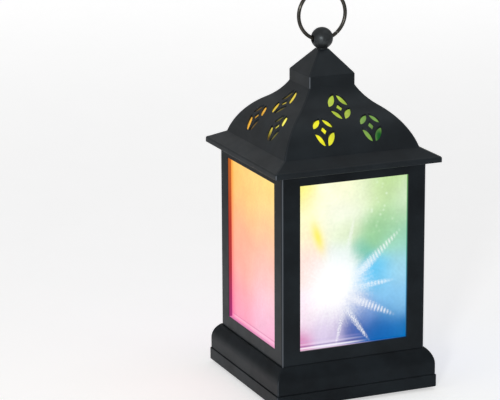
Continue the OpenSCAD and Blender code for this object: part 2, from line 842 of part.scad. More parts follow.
module battery_lead_black() {
    e = lead_ends[1];
    p = lead_pads[1];
    path = [
        e,
        e + [lead_clear / 2, 0, 0],
        e + [lead_clear, -lead_clear / 2, 0],
        [e[0] + lead_clear, bay_y, e[2]],
        [e[0] + lead_clear, bay_y - bay_w / 2, (e[2] + p[2] + lead_lift) / 2],
        [(e[0] + p[0]) / 2 + lead_clear, p[1] + lead_clear, p[2] + lead_lift],
        p + [0, 0, lead_lift],
        p + [0, 0, lead_lift / 2],
        p,
    ];
    color("#1a1a1a") tube_along(lead_path(path), lead_r, lead_sides, [2, 1, 0]);
}

// three wires from the circuit board up through the deck to the LED board
module lamp_leads() {
    pitch = 2 * lead_r + slide_gap;
    y0 = board_c[1] + board_size[1] * lamp_pad_share;
    y1 = lead_hole_y;
    y2 = -led_ring_r * led_pad_share;
    for (i = [-1:1]) color(i == 0 ? "#d9d9d9" : "#5a2f86") {
        path = [
            [i * pitch, y0, board_top],
            [i * pitch, y0, board_top + lead_lift / 2],
            [i * pitch, (y0 + y1) / 2, (board_top + lead_lift + deck_z) / 2],
            [i * pitch, y1, (deck_z + deck_top) / 2],
            [i * pitch, y2, (deck_top + led_board_z) / 2],
            [i * pitch, y2, led_board_z - lead_lift],
            [i * pitch, y2, led_board_z],
        ];
        tube_along(lead_path(path), lead_r, lead_sides, [1, 0, 0]);
    }
}

module on_board(shares) {
    translate([board_c[0] + shares[0] * board_size[0], board_c[1] + shares[1] * board_size[1], board_top])
        children();
}

module circuit_board() {
    color("#1f5b34") difference() {
        translate([board_c[0] - board_size[0] / 2, board_c[1] - board_size[1] / 2, board_z])
            cube(board_size);
        for (s = [-1, 1]) translate([board_c[0] + s * standoff_x, board_c[1], 0])
            rod(board_screw_r + hole_gap, board_z - cut_over, board_top + cut_over);
    }
}

module board_screws() {
    color("silver") for (s = [-1, 1]) translate([board_c[0] + s * standoff_x, board_c[1], board_top])
        mirror([0, 0, 1]) pan_screw(board_screw_r, board_screw_head_r, board_screw_head_h, board_screw_l);
}

module controller_chip() {
    // a low cap of a sphere, as a drop of resin sets
    drop_r = (chip_r * chip_r + chip_h * chip_h) / (2 * chip_h);
    color("#101010") on_board(chip_shares) intersection() {
        translate([0, 0, chip_h - drop_r]) sphere(drop_r, $fn = round_fn);
        rod(chip_r, 0, chip_h);
    }
}

module board_resistors() {
    color("#15181c") for (p = resistor_shares) on_board(p)
        translate([-resistor_size[0] / 2, -resistor_size[1] / 2, 0]) cube(resistor_size);
}

module board_capacitor() {
    color("#27406b") on_board(capacitor_shares) rod(capacitor_r, 0, capacitor_h);
}

switch_z = board_z - switch_size[2];

module switch_housing() {
    inner = [switch_size[0] - 2 * switch_wall, switch_size[1] - 2 * switch_wall,
        switch_size[2] - 2 * switch_wall];
    color("#b9bcbf") translate([board_c[0], board_c[1], switch_z + switch_size[2] / 2]) difference() {
        cube(switch_size, center = true);
        cube(inner, center = true);
        translate([0, 0, -switch_size[2] / 2])
            cube([knob_size[0] + switch_travel + 2 * part_gap, knob_size[1] + 2 * part_gap,
                2 * switch_wall + cut_over], center = true);
    }
}

// the slider in its ON place, towards +X
module switch_knob() {
    plate_z = switch_z + switch_wall + slide_gap;
    color("#e6e6e6") translate([board_c[0] + switch_travel / 2, board_c[1], 0]) {
        translate([-knob_plate[0] / 2, -knob_plate[1] / 2, plate_z]) cube(knob_plate);
        translate([-knob_size[0] / 2, -knob_size[1] / 2, tray_z - knob_out])
            cube([knob_size[0], knob_size[1], plate_z + knob_plate[2] - tray_z + knob_out]);
    }
}

module lamp_post() {
    top = deck_top + post_h;
    color("#ececea") difference() {
        union() {
            rod(post_r, deck_top, top);
            rod(flange_r, deck_top, deck_top + flange_t);
            lamp_fixings() rod(lamp_boss_r, deck_top, deck_top + lamp_boss_h);
            mirror([0, 1, 0]) lamp_fixings() rod(peg_r, deck_z + slide_gap, deck_top + weld);
        }
        rod(post_r - post_wall - led_ledge_w, deck_top - cut_over, top + cut_over);
        rod(post_r - post_wall, deck_top - cut_over, led_board_z - led_ledge_t);
        rod(post_r - post_wall, led_board_z, top + cut_over);
        lamp_fixings()
            rod(screw_r + fit_gap, deck_top - cut_over, deck_z + lamp_screw_l + lamp_pilot_extra);
    }
}

module lamp_screws() {
    color("silver") lamp_fixings() translate([0, 0, deck_z])
        pan_screw(screw_r, screw_head_r, screw_head_h, lamp_screw_l);
}

// LED k stands at its own side of the board: 0 at -X, then -Y, +X and +Y
module at_led(k) {
    rotate(90 * k + 180) translate([led_ring_r, 0, led_board_z + led_board_t]) children();
}

module led_board() {
    color("#f2f2ee") difference() {
        rod(led_board_r, led_board_z, led_board_z + led_board_t);
        for (k = [0:3]) at_led(k) for (s = [-1, 1])
            translate([0, s * led_pin_pitch / 2, 0])
                rod(led_pin_r + fit_gap, -led_board_t - cut_over, cut_over);
    }
}

module led(k, shade) {
    color(shade, 0.8) at_led(k) {
        rod(led_flange_r, 0, led_flange_h);
        rod(led_r, 0, led_flange_h + led_body_h);
        translate([0, 0, led_flange_h + led_body_h]) intersection() {
            sphere(led_r, $fn = round_fn);
            rod(led_r, 0, led_r);
        }
        for (s = [-1, 1]) translate([0, s * led_pin_pitch / 2, 0]) rod(led_pin_r, -led_pin_l, weld);
    }
}

// faceted clear dome with a locating lip inside the post
module lens_dome() {
    color("#eef4f7", 0.4) translate([0, 0, lens_z]) {
        difference() {
            union() {
                intersection() {
                    sphere(post_r, $fn = lens_fn);
                    rod(post_r, 0, post_r);
                }
                rod(lens_lip_r, -lens_lip_h, weld);
            }
            sphere(lens_bore_r, $fn = round_fn);
            rod(lens_bore_r, -lens_lip_h - cut_over, 0);
        }
    }
}

body_frame();
pane("#86cfc6");  // pane_front
rotate(90) pane("#9ec4e6");  // pane_right
rotate(180) pane("#d9b6e0");  // pane_back
rotate(270) pane("#efa64e");  // pane_left
roof_shell();
roof_film();  // roof_film_front
rotate(90) roof_film();  // roof_film_right
rotate(180) roof_film();  // roof_film_back
rotate(270) roof_film();  // roof_film_left
roof_screws();
finial_ball();
finial_screw();
finial_washer();
ring_handle();
plinth();
body_screws();
base_tray();
tray_screws();
translate([-foot_c, -foot_c, 0]) rubber_foot();  // foot_front_left
translate([foot_c, -foot_c, 0]) rubber_foot();  // foot_front_right
translate([-foot_c, foot_c, 0]) rubber_foot();  // foot_back_left
translate([foot_c, foot_c, 0]) rubber_foot();  // foot_back_right
battery_door();
battery(0, 1);  // battery_1
battery(1, -1);  // battery_2
battery(2, 1);  // battery_3
contact(0, 0, 1);  // contact_positive
contact(2, 2, -1);  // contact_negative
contact(1, 2, 1);  // contact_link_left
contact(0, 1, -1);  // contact_link_right
contact_springs();
battery_lead_red();
battery_lead_black();
circuit_board();
board_screws();
controller_chip();
board_resistors();
board_capacitor();
switch_housing();
switch_knob();
lamp_post();
lamp_screws();
lamp_leads();
led_board();
led(0, "#c8322a");  // led_red
led(1, "#e3b52a");  // led_yellow
led(3, "#3f9a4a");  // led_green
led(2, "#2c62b8");  // led_blue
lens_dome();
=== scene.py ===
"""Square plastic LED lantern with four lit windows, an ogee roof and a ring handle.

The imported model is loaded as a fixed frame. The visible shells, windows, finial, ring and feet
are modelled around it, every piece gets a procedural material, and a plain studio is set up.
Lengths are in metres. The lantern stands on the floor at z = 0, centred on the Z axis, and the
wide window of the photographed side faces -Y.
"""

import contextlib
import json
import math

import bmesh
import bpy
from mathutils import Matrix, Vector


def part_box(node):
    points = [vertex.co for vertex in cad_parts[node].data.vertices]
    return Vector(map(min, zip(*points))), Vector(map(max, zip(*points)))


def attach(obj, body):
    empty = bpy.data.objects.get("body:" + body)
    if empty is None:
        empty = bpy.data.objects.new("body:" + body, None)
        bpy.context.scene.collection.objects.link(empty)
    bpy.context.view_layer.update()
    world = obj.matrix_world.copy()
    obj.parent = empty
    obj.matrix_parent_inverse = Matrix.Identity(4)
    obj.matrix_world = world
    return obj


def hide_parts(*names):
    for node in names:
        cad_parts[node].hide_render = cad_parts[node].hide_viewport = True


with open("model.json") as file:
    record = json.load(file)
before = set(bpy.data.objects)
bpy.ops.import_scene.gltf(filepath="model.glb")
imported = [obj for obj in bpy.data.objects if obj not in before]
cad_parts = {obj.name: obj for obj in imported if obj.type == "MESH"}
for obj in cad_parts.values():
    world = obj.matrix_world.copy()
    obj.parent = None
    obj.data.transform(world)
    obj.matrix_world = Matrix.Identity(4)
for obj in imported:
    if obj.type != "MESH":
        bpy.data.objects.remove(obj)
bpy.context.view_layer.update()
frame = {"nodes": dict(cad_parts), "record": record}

bl_info = {
    "name": "Square LED Lantern",
    "version": (1, 0, 0),
    "blender": (4, 5, 0),
    "location": "View3D > Sidebar > Lantern",
    "description": "Models a square plastic lantern with lit windows around its packed parts",
    "category": "Object",
}

MM = 0.001
NEAR = 0.01 * MM
SIDES = (("front", 0), ("right", 90), ("back", 180), ("left", 270))

SCREW_HEAD = 2.8 * MM  # radius of a screw's head
POST = 3.8 * MM  # radius of the posts and bosses that screws go through
PILOT = 1.5 * MM  # radius of the holes that screws cut their thread in
CLEARANCE = 1.7 * MM  # radius of the holes that screws pass through
SEAM = 10.3 * MM  # height of the seam between tray and plinth
CELL = 0.021  # spacing of the window film's cells, in window widths
BEAD = 0.032  # spacing of the beads along a ray, in window widths


def srgb(red, green, blue):
    """A colour written in 0 to 255 display values, as linear values."""
    return tuple(
        (c / 255 / 12.92 if c <= 10 else ((c / 255 + 0.055) / 1.055) ** 2.4)
        for c in (red, green, blue)
    )


def measure(name, description, default, **settings):
    return bpy.props.FloatProperty(
        name=name, description=description, default=default, min=0.0, **settings
    )


def length(name, description, default):
    return measure(name, description, default, precision=5, subtype="DISTANCE", unit="LENGTH")


def share(name, description, default, top=1.0):
    return measure(name, description, default, max=top, subtype="FACTOR")


def power(name, description, default):
    return measure(name, description, default, subtype="POWER", unit="POWER")


def shade(name, description, default):
    return bpy.props.FloatVectorProperty(
        name=name, description=description, default=default, size=3,
        min=0.0, max=1.0, subtype="COLOR",
    )


# ---------------------------------------------------------------- sizes and colours


class LanternSizes(bpy.types.PropertyGroup):
    """Sizes of the modelled shells"""

    body_edge: length("Body edge", "Radius of the body's upright edges", 1.6 * MM)
    body_wall: length("Body wall", "Wall thickness of the body", 2.4 * MM)
    stile: length("Stile", "Width of the frame beside each window", 12.5 * MM)
    sill: length("Sill", "Height of the rail under each window", 12.2 * MM)
    head: length("Head", "Height of the rail over each window", 12.0 * MM)
    window_edge: length("Window edge", "Bevel round each window opening", 0.3 * MM)
    pane_edge: length("Pane edge", "Bevel round each pane", 0.25 * MM)
    roof_wall: length("Roof wall", "Wall thickness of the cupola and the eaves", 2.0 * MM)
    roof_skin: length("Roof skin", "Wall thickness of the pierced dome", 1.0 * MM)
    hip_edge: length("Hip edge", "Rounding of the roof's corner lines", 1.1 * MM)
    base_edge: length("Base edge", "Rounding of the base's corner lines", 0.9 * MM)
    petal_length: length("Petal length", "Length of one pierced petal", 8.4 * MM)
    petal_width: length("Petal width", "Width of one pierced petal", 3.4 * MM)
    petal_ring: length("Petal ring", "Distance of a petal from its medallion's centre", 5.3 * MM)
    pierced_square: length("Pierced square", "Side of the square in each medallion", 3.2 * MM)
    upper_rise: share("Upper rise", "Height of an upper medallion against its width", 1.15, 2.0)
    lower_rise: share("Lower rise", "Height of a lower medallion against its width", 0.89, 2.0)
    ring_gap: length("Ring gap", "Width of the butt joint in the ring's wire", 0.25 * MM)
    foot_dish: length("Foot dish", "Depth of the dish under each foot", 0.5 * MM)


class LanternFinishes(bpy.types.PropertyGroup):
    """Colours and gloss of the lantern's finishes"""

    plastic: shade("Plastic", "Charcoal black of the moulded shells", srgb(27, 30, 33))
    plastic_lift: shade("Plastic lift", "Lighter mottling of the shells", srgb(35, 40, 44))
    # a painted highlight on the shells' rounded upright corners
    painted_highlight: shade("Highlight", "The shells' upright corners, rubbed lighter", srgb(104, 109, 116))
    finial: shade("Finial", "Colour of the ball", srgb(28, 28, 29))
    wire: shade("Wire", "Blackened steel of the ring", srgb(82, 80, 74))
    rubber: shade("Rubber", "Colour of the feet", srgb(38, 38, 39))
    glow: share("Glow", "Strength of the lit windows", 1.0, 4.0)
    film_glow: share("Film glow", "Strength of the lit film behind the medallions", 1.0, 4.0)


class LanternStage(bpy.types.PropertyGroup):
    """The floor, the lamps and the camera"""

    floor: shade("Floor", "Colour of the floor and the backdrop", srgb(240, 240, 240))
    floor_lift: share("Floor lift", "Extra light of the floor, only where it is seen", 0.56)
    backdrop_lift: share("Backdrop lift", "Extra light of the backdrop, only where seen", 0.86)
    world: share("World", "Strength of the surrounding light", 0.4, 4.0)
    key: power("Key", "Power of the soft box near the camera", 7.0)
    side: power("Side", "Power of the soft box on the left", 1.2)
    top: power("Top", "Power of the soft box over the lantern", 0.8)
    lens: measure(
        "Lens", "Focal length of the camera, in millimetres", 174.52, subtype="DISTANCE_CAMERA"
    )


def sizes():
    return bpy.context.scene.lantern_sizes


def finishes():
    return bpy.context.scene.lantern_finishes


def opening():
    """Half the width of a window opening, and the heights of its sill and its head."""
    low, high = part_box("body_frame")
    return high.x - sizes().stile, low.z + sizes().sill, high.z - sizes().head


# ---------------------------------------------------------------- modelling by hand


def select_only(*objects):
    bpy.ops.object.select_all(action="DESELECT")
    for obj in objects:
        obj.select_set(True)
    bpy.context.view_layer.objects.active = objects[-1]


@contextlib.contextmanager
def editing(obj):
    """Opens a mesh in edit mode with nothing selected, and closes it again."""
    select_only(obj)
    bpy.ops.object.mode_set(mode="EDIT")
    bpy.ops.mesh.select_all(action="DESELECT")
    yield obj
    bpy.ops.object.mode_set(mode="OBJECT")


def near(a, b):
    return abs(a - b) < NEAR


def middle(item):
    """The middle of an edge or a face."""
    return sum((v.co for v in item.verts), Vector()) / len(item.verts)


def pick(obj, kind, test=None):
    """Selects what passes the test, or everything, in edit mode. kind is EDGE or FACE."""
    bpy.ops.mesh.select_mode(type=kind)
    bpy.ops.mesh.select_all(action="DESELECT" if test else "SELECT")
    if not test:
        return
    shape = bmesh.from_edit_mesh(obj.data)
    chosen = [item for item in (shape.edges if kind == "EDGE" else shape.faces) if test(item)]
    for item in chosen:
        item.select_set(True)
    bmesh.update_edit_mesh(obj.data)
    if not chosen:
        raise RuntimeError(f"nothing was picked on {obj.name}")


def bevel(obj, width, segments, test=None, **settings):
    """Rounds the edges that pass the test, or all of them."""
    with editing(obj):
        pick(obj, "EDGE", test)
        bpy.ops.mesh.bevel(offset=width, segments=segments, affect="EDGES", **settings)


def pull(*way):
    """Extrudes the selected faces by a vector."""
    bpy.ops.mesh.extrude_region_move(TRANSFORM_OT_translate={"value": way})


def turn_faces(inside=False):
    """Makes all faces point outwards, or inwards."""
    bpy.ops.mesh.select_all(action="SELECT")
    bpy.ops.mesh.normals_make_consistent(inside=inside)


def turn_mesh(obj, degrees, axis, centre=(0, 0, 0)):
    with editing(obj):
        bpy.ops.mesh.select_all(action="SELECT")
        bpy.ops.transform.rotate(
            value=math.radians(degrees), orient_axis=axis, center_override=centre
        )


def settle(obj, name):
    """Names a new object and puts its place, turn and scale into its mesh."""
    obj.name = obj.data.name = name
    select_only(obj)
    bpy.ops.object.transform_apply(location=True, rotation=True, scale=True)
    return obj


def add(primitive, name, **settings):
    bpy.ops.object.select_all(action="DESELECT")
    getattr(bpy.ops.mesh, f"primitive_{primitive}_add")(**settings)
    return settle(bpy.context.object, name)


def add_box(name, low, high):
    low, high = Vector(low), Vector(high)
    return add("cube", name, size=1, location=(low + high) / 2, scale=high - low)


def add_rod(name, radius, foot, top, axis="Z", sides=48):
    """A cylinder from foot to top along an axis. foot and top are points."""
    foot, top = Vector(foot), Vector(top)
    turn = {"X": (0, math.pi / 2, 0), "Z": (0, 0, 0)}[axis]
    return add(
        "cylinder", name, vertices=sides, radius=radius, depth=(top - foot).length,
        location=(foot + top) / 2, rotation=turn,
    )


def add_post(name, radius, spot, foot, top, sides=48):
    """An upright cylinder at a spot on the ground, between two heights."""
    return add_rod(name, radius, (*spot, foot), (*spot, top), sides=sides)


def change(obj, kind, **settings):
    """Adds a modifier with its settings and applies it."""
    select_only(obj)
    modifier = obj.modifiers.new(kind.title(), kind)
    for key, value in settings.items():
        setattr(modifier, key, value)
    bpy.ops.object.modifier_apply(modifier=modifier.name)


def combine(obj, tool, operation="DIFFERENCE"):
    """Cuts, joins or meets a mesh with a tool mesh, which is used up."""
    change(obj, "BOOLEAN", operation=operation, solver="EXACT", object=tool)
    bpy.data.objects.remove(tool)


def merge(name, *objects):
    """Joins objects into one, under a new name."""
    select_only(*objects)
    bpy.ops.object.join()
    return settle(bpy.context.object, name)


def copy_of(obj, name, turn=0.0, move=(0, 0, 0)):
    """A copy with its own mesh, turned about the Z axis by degrees and then moved."""
    twin = obj.copy()
    twin.data = obj.data.copy()
    bpy.context.scene.collection.objects.link(twin)
    twin.parent = None
    spin = Matrix.Rotation(math.radians(turn), 4, "Z")
    twin.matrix_world = Matrix.Translation(Vector(move)) @ spin
    return settle(twin, name)


def corners(x, y):
    return [(sx * x, sy * y) for sx in (-1, 1) for sy in (-1, 1)]


def screw_reach(node):
    """How far along X and Y the furthest screw of a set stands."""
    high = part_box(node)[1]
    return high.x - SCREW_HEAD, high.y - SCREW_HEAD


def turned_square(name, profile):
    """A closed shell with a square plan, from half widths and heights.

    The profile starts on the inside, where its square is closed by a face, and ends on the
    outside, where the last square is closed too.
    """
    half, height = profile[0]
    obj = add("plane", name, size=2 * half, location=(0, 0, height))
    with editing(obj):
        pick(obj, "EDGE")
        for next_half, next_height in profile[1:]:
            bpy.ops.mesh.extrude_edges_indiv()
            bpy.ops.transform.translate(value=(0, 0, next_height - height))
            grow = next_half / half
            bpy.ops.transform.resize(value=(grow, grow, 1), center_override=(0, 0, next_height))
            half, height = next_half, next_height
        bpy.ops.mesh.edge_face_add()
        turn_faces()
    return obj


def round_hips(obj, line, width):
    """Rounds the corner lines that run through the given half widths and heights."""

    def on_line(point):
        return near(abs(point.x), abs(point.y)) and any(
            near(abs(point.x), half) and near(point.z, height) for half, height in line
        )

    def on_hip(edge):
        a, b = (v.co for v in edge.verts)
        return on_line(a) and on_line(b) and a.x * b.x > 0 and a.y * b.y > 0

    bevel(obj, width, 4, on_hip, clamp_overlap=False)


def arc(start, end, tangent, count):
    """Points of the arc from start to end that leaves start at a tangent angle in degrees."""
    run, rise = end[0] - start[0], end[1] - start[1]
    begin = math.radians(tangent)
    half = math.atan2(rise, run) - begin
    radius = math.hypot(run, rise) / (2 * math.sin(half))
    points = []
    for i in range(1, count + 1):
        turn = begin + 2 * half * i / count
        points.append((
            start[0] + radius * (math.sin(turn) - math.sin(begin)),
            start[1] + radius * (math.cos(begin) - math.cos(turn)),
        ))
    return points, math.degrees(begin + 2 * half)


def fit_out(obj, body, slot, material, *nodes, angle=30.0):
    """Gives a piece its shading, material and body, and hides the CAD nodes it stands for.

    The shading is smooth but breaks at sharp edges, and flat faces stay flat.
    The slot argument is not used.
    """
    select_only(obj)
    bpy.ops.object.shade_smooth_by_angle(angle=math.radians(angle))
    change(obj, "WEIGHTED_NORMAL", mode="FACE_AREA", weight=100, keep_sharp=True)
    obj.data.materials.clear()
    obj.data.materials.append(material)
    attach(obj, body)
    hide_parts(*nodes)


def fit_black(obj, node, body="lantern"):
    fit_out(obj, body, "black_plastic", kept("black_plastic", mould, 0.5, 0.06), node)


def fit_round(obj, names, node):
    """Copies a black piece to the four sides or corners and removes the first one."""
    for k, name in enumerate(names):
        fit_black(copy_of(obj, name, 90 * k), node)
    bpy.data.objects.remove(obj)


# ---------------------------------------------------------------- materials


class Finish:
    """Builds the nodes of one material."""

    def __init__(self, name):
        self.material = bpy.data.materials.new(name)
        self.material.use_nodes = True
        self.tree = self.material.node_tree
        self.tree.nodes.clear()
        self.shader = self.node("ShaderNodeBsdfPrincipled")
        self.node("ShaderNodeOutputMaterial", {"Surface": self.shader.outputs[0]})
        self.coordinates = self.node("ShaderNodeTexCoord").outputs
        self.place = self.coordinates["Object"]

    def node(self, kind, values=None, **settings):
        """Adds a node with its settings, and feeds its sockets by name or number."""
        node = self.tree.nodes.new(kind)
        for key, value in settings.items():
            setattr(node, key, value)
        for key, value in (values or {}).items():
            self.feed(node.inputs[key], value)
        return node

    def feed(self, target, value):
        """Links a socket, or sets a plain value."""
        if isinstance(value, bpy.types.NodeSocket):
            self.tree.links.new(value, target)
        elif target.type == "RGBA" and len(value) == 3:
            target.default_value = (*value, 1.0)
        else:
            target.default_value = value

    def set(self, **sockets):
        """Sets the shader's sockets. An underscore in a name stands for a space."""
        for key, value in sockets.items():
            self.feed(self.shader.inputs[key.replace("_", " ")], value)

    def math(self, operation, *values, clamp=False):
        values = dict(enumerate(values))
        return self.node(
            "ShaderNodeMath", values, operation=operation, use_clamp=clamp
        ).outputs[0]

    def vector(self, operation, *values, scale=None):
        values = dict(enumerate(values))
        if scale is not None:
            values["Scale"] = scale
        plain = operation in ("DOT_PRODUCT", "LENGTH")
        node = self.node("ShaderNodeVectorMath", values, operation=operation)
        return node.outputs["Value" if plain else "Vector"]

    def parts(self, vector):
        """The X, Y and Z of a vector."""
        return self.node("ShaderNodeSeparateXYZ", {0: vector}).outputs

    def turned(self, degrees):
        """The place on the object, with a side turned to where the front is."""
        turn = (0, 0, math.radians(-degrees))
        values = {"Vector": self.place, "Rotation": turn}
        return self.node("ShaderNodeMapping", values, vector_type="POINT").outputs[0]

    def bell(self, squared, reach):
        """A bell curve of a squared distance: 1 in the middle and 0.37 at the reach."""
        return self.math("EXPONENT", self.math("MULTIPLY", squared, -1 / reach**2))

    def lobe(self, away, reach):
        """A bell curve of an offset."""
        return self.bell(self.vector("DOT_PRODUCT", away, away), reach)

    def stripe(self, value, reach):
        """A bell curve of a distance."""
        return self.bell(self.math("MULTIPLY", value, value), reach)

    def beside(self, spot, start, c, s):
        """How far a spot lies along and aside of a line in the plane of X and Z."""
        away = self.vector("SUBTRACT", spot, (start[0], 0, start[1]))
        return [self.vector("DOT_PRODUCT", away, way) for way in ((c, 0, s), (-s, 0, c))]

    def mix(self, factor, a, b):
        values = {0: factor, 6: a, 7: b}
        return self.node("ShaderNodeMix", values, data_type="RGBA").outputs[2]

    def mottle(self, patches, dark, colour):
        """A colour, and its darker shade between the patches."""
        return self.mix(patches, tuple(dark * c for c in colour), tuple(colour))

    def remap(self, value, low, high, to_low=0.0, to_high=1.0, kind="SMOOTHSTEP"):
        return self.node("ShaderNodeMapRange", {
            "Value": value, "From Min": low, "From Max": high, "To Min": to_low,
            "To Max": to_high,
        }, interpolation_type=kind).outputs["Result"]

    def noise(self, scale, detail=2.0, roughness=0.5, place=None, stretch=None, out="Fac"):
        place = self.place if place is None else place
        if stretch:
            place = self.vector("MULTIPLY", place, stretch)
        return self.node("ShaderNodeTexNoise", {
            "Scale": scale, "Detail": detail, "Roughness": roughness, "Vector": place,
        }).outputs[out]

    def ramp(self, value, stops):
        """Colours along a value. The stops are positions from 0 to 1 and display colours."""
        node = self.node("ShaderNodeValToRGB", {"Fac": value})
        elements = node.color_ramp.elements
        while len(elements) < len(stops):
            elements.new(0.5)
        for element, (position, colour) in zip(elements, stops):
            element.position = position
            element.color = (*srgb(*colour), 1.0)
        return node.outputs["Color"]

    def both(self, *values):
        """The product of masks."""
        result = values[0]
        for value in values[1:]:
            result = self.math("MULTIPLY", result, value)
        return result

    def bump(self, height, strength, distance):
        """A fine relief of the surface."""
        values = {"Strength": strength, "Distance": distance, "Height": height}
        self.set(Normal=self.node("ShaderNodeBump", values).outputs["Normal"])


def kept(slot, build, *values):
    """The finish of a material slot, built once. The frame's own materials have the bare names."""
    name = slot + "_finish"
    return bpy.data.materials.get(name) or build(name, *values).material


def mould(name, edge=0.0, specular=0.26, low=None, high=None):
    """Satin injection-moulded plastic: soft mottling, a fine spark texture and uneven gloss.

    The rounded corners between upright faces get a painted highlight, as strong as edge says.
    """
    colours = finishes()
    low, high = low or tuple(colours.plastic), high or tuple(colours.plastic_lift)
    f = Finish(name)
    x, y, z = (f.math("ABSOLUTE", part) for part in f.parts(f.coordinates["Normal"]))
    diagonal = f.math("DIVIDE", f.math("MINIMUM", x, y), f.math("MAXIMUM", x, y))
    spot = [f.math("ABSOLUTE", part) for part in f.parts(f.place)[:2]]
    # painted highlight: a lighter colour on the rounded upright corners
    painted_highlight = f.both(
        f.remap(diagonal, 0.3, 0.85), f.remap(z, 0.15, 0.45, edge, 0.1 * edge),
        f.remap(f.math("ABSOLUTE", f.math("SUBTRACT", *spot)), 2 * MM, 3 * MM, 1.0, 0.0),
    )
    cloud = f.remap(f.noise(45, detail=4), 0.3, 0.7)
    f.set(
        Base_Color=f.mix(painted_highlight, f.mix(cloud, low, high), tuple(colours.painted_highlight)),
        Roughness=f.remap(f.noise(120, detail=3), 0.3, 0.7, 0.28, 0.36),
        Specular_IOR_Level=specular,
        Specular_Tint=(0.80, 0.92, 1.0, 1.0),
    )
    f.bump(f.noise(1400, detail=3), 0.04, 0.0002)
    return f


def body_plastic_painted_glow(name):
    """The shells' plastic, with the lit panes' colours painted on the edges of the windows as a
    glow.
    """
    window, sill, head = opening()
    half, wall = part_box("body_frame")[1].x, sizes().body_wall
    tiny = 0.03 * MM
    f = mould(name, 0.8, 0.10)
    up = f.parts(f.place)[2]
    rise = f.remap(up, sill, head, kind="LINEAR")
    on_sill = f.math("LESS_THAN", up, sill + tiny)
    on_head = f.math("GREATER_THAN", up, head - tiny)
    # painted glow: each pane's light painted on the edges of its window opening
    total = (0, 0, 0)
    for side, turn in SIDES:
        far_glow, near_glow, bottom, top = WINDOWS[side]["edges"]
        across, inwards, _ = f.parts(f.turned(turn))
        out = f.math("MULTIPLY", inwards, -1.0)
        along = f.remap(across, -window, window, kind="LINEAR")
        here = f.both(
            f.math("GREATER_THAN", up, sill - tiny), f.math("LESS_THAN", up, head + tiny),
            f.math("GREATER_THAN", out, half - wall - tiny),
            f.math("GREATER_THAN", across, -window - tiny),
            f.math("LESS_THAN", across, window + tiny),
        )
        colour = f.mix(
            f.math("GREATER_THAN", across, 0.0), f.ramp(rise, far_glow), f.ramp(rise, near_glow)
        )
        colour = f.mix(on_sill, colour, f.ramp(along, bottom))
        colour = f.mix(on_head, colour, f.ramp(along, top))
        # the front window's light reaches less far out
        reach, end = (0.7, 0.1) if side == "front" else (1.0, 0.7)
        fade = f.remap(out, half - wall, half - (1 - reach) * wall, 1.0, end)
        total = f.vector("ADD", total, f.vector("SCALE", colour, scale=f.both(here, fade)))
    f.set(Emission_Color=total, Emission_Strength=finishes().glow)
    return f


def gloss_plastic(name, colour, roughness=0.25, flow=0.03, specular=0.4):
    """Smooth plastic with faint flow marks."""
    f = Finish(name)
    f.set(
        Base_Color=f.mottle(f.remap(f.noise(300, detail=3), 0.3, 0.7), 0.82, colour),
        Roughness=f.remap(f.noise(200), 0.3, 0.7, 0.8 * roughness, 1.2 * roughness),
        Specular_IOR_Level=specular,
        Specular_Tint=(0.85, 0.95, 1.0, 1.0),
    )
    f.bump(f.noise(900), flow, 0.0002)
    return f


def plated_steel(name, colour, roughness=0.3, stretch=(1, 1, 12)):
    """Metal with fine drawn lines and slight staining."""
    f = Finish(name)
    lines = f.noise(700, detail=3, stretch=stretch)
    f.set(
        Base_Color=f.mottle(f.remap(f.noise(250, detail=4), 0.35, 0.75), 0.75, colour),
        Roughness=f.remap(lines, 0.3, 0.7, 0.75 * roughness, 1.3 * roughness),
        Metallic=1.0,
    )
    f.bump(lines, 0.06, 0.0001)
    return f


def rubber_finish(name):
    """Matt rubber with a fine pitted skin."""
    f = Finish(name)
    pits = f.noise(1600, detail=4)
    f.set(
        Base_Color=f.mottle(f.remap(pits, 0.3, 0.7), 0.7, finishes().rubber),
        Roughness=f.remap(pits, 0.3, 0.7, 0.75, 0.9),
        Specular_IOR_Level=0.3,
    )
    f.bump(pits, 0.15, 0.0003)
    return f


def wire_finish(name):
    """Blackened spring wire: dark and glossy, with fine lines."""
    f = Finish(name)
    lines = f.noise(900, detail=3)
    f.set(
        Base_Color=f.mottle(f.remap(f.noise(180, detail=4), 0.35, 0.7), 0.6, finishes().wire),
        Roughness=f.remap(lines, 0.3, 0.7, 0.22, 0.34),
        Metallic=0.75,
    )
    f.bump(lines, 0.04, 0.0001)
    return f


def tinted_epoxy(name, colour):
    """Cloudy tinted resin that glows with its own colour."""
    f = Finish(name)
    cloud = f.remap(f.noise(500), 0.3, 0.7, 0.8, 1.0)
    tint = f.vector("SCALE", colour, scale=cloud)
    f.set(Base_Color=tint, Emission_Color=tint, Emission_Strength=1.0, Roughness=0.12)
    return f


# ---------------------------------------------------------------- the lit windows

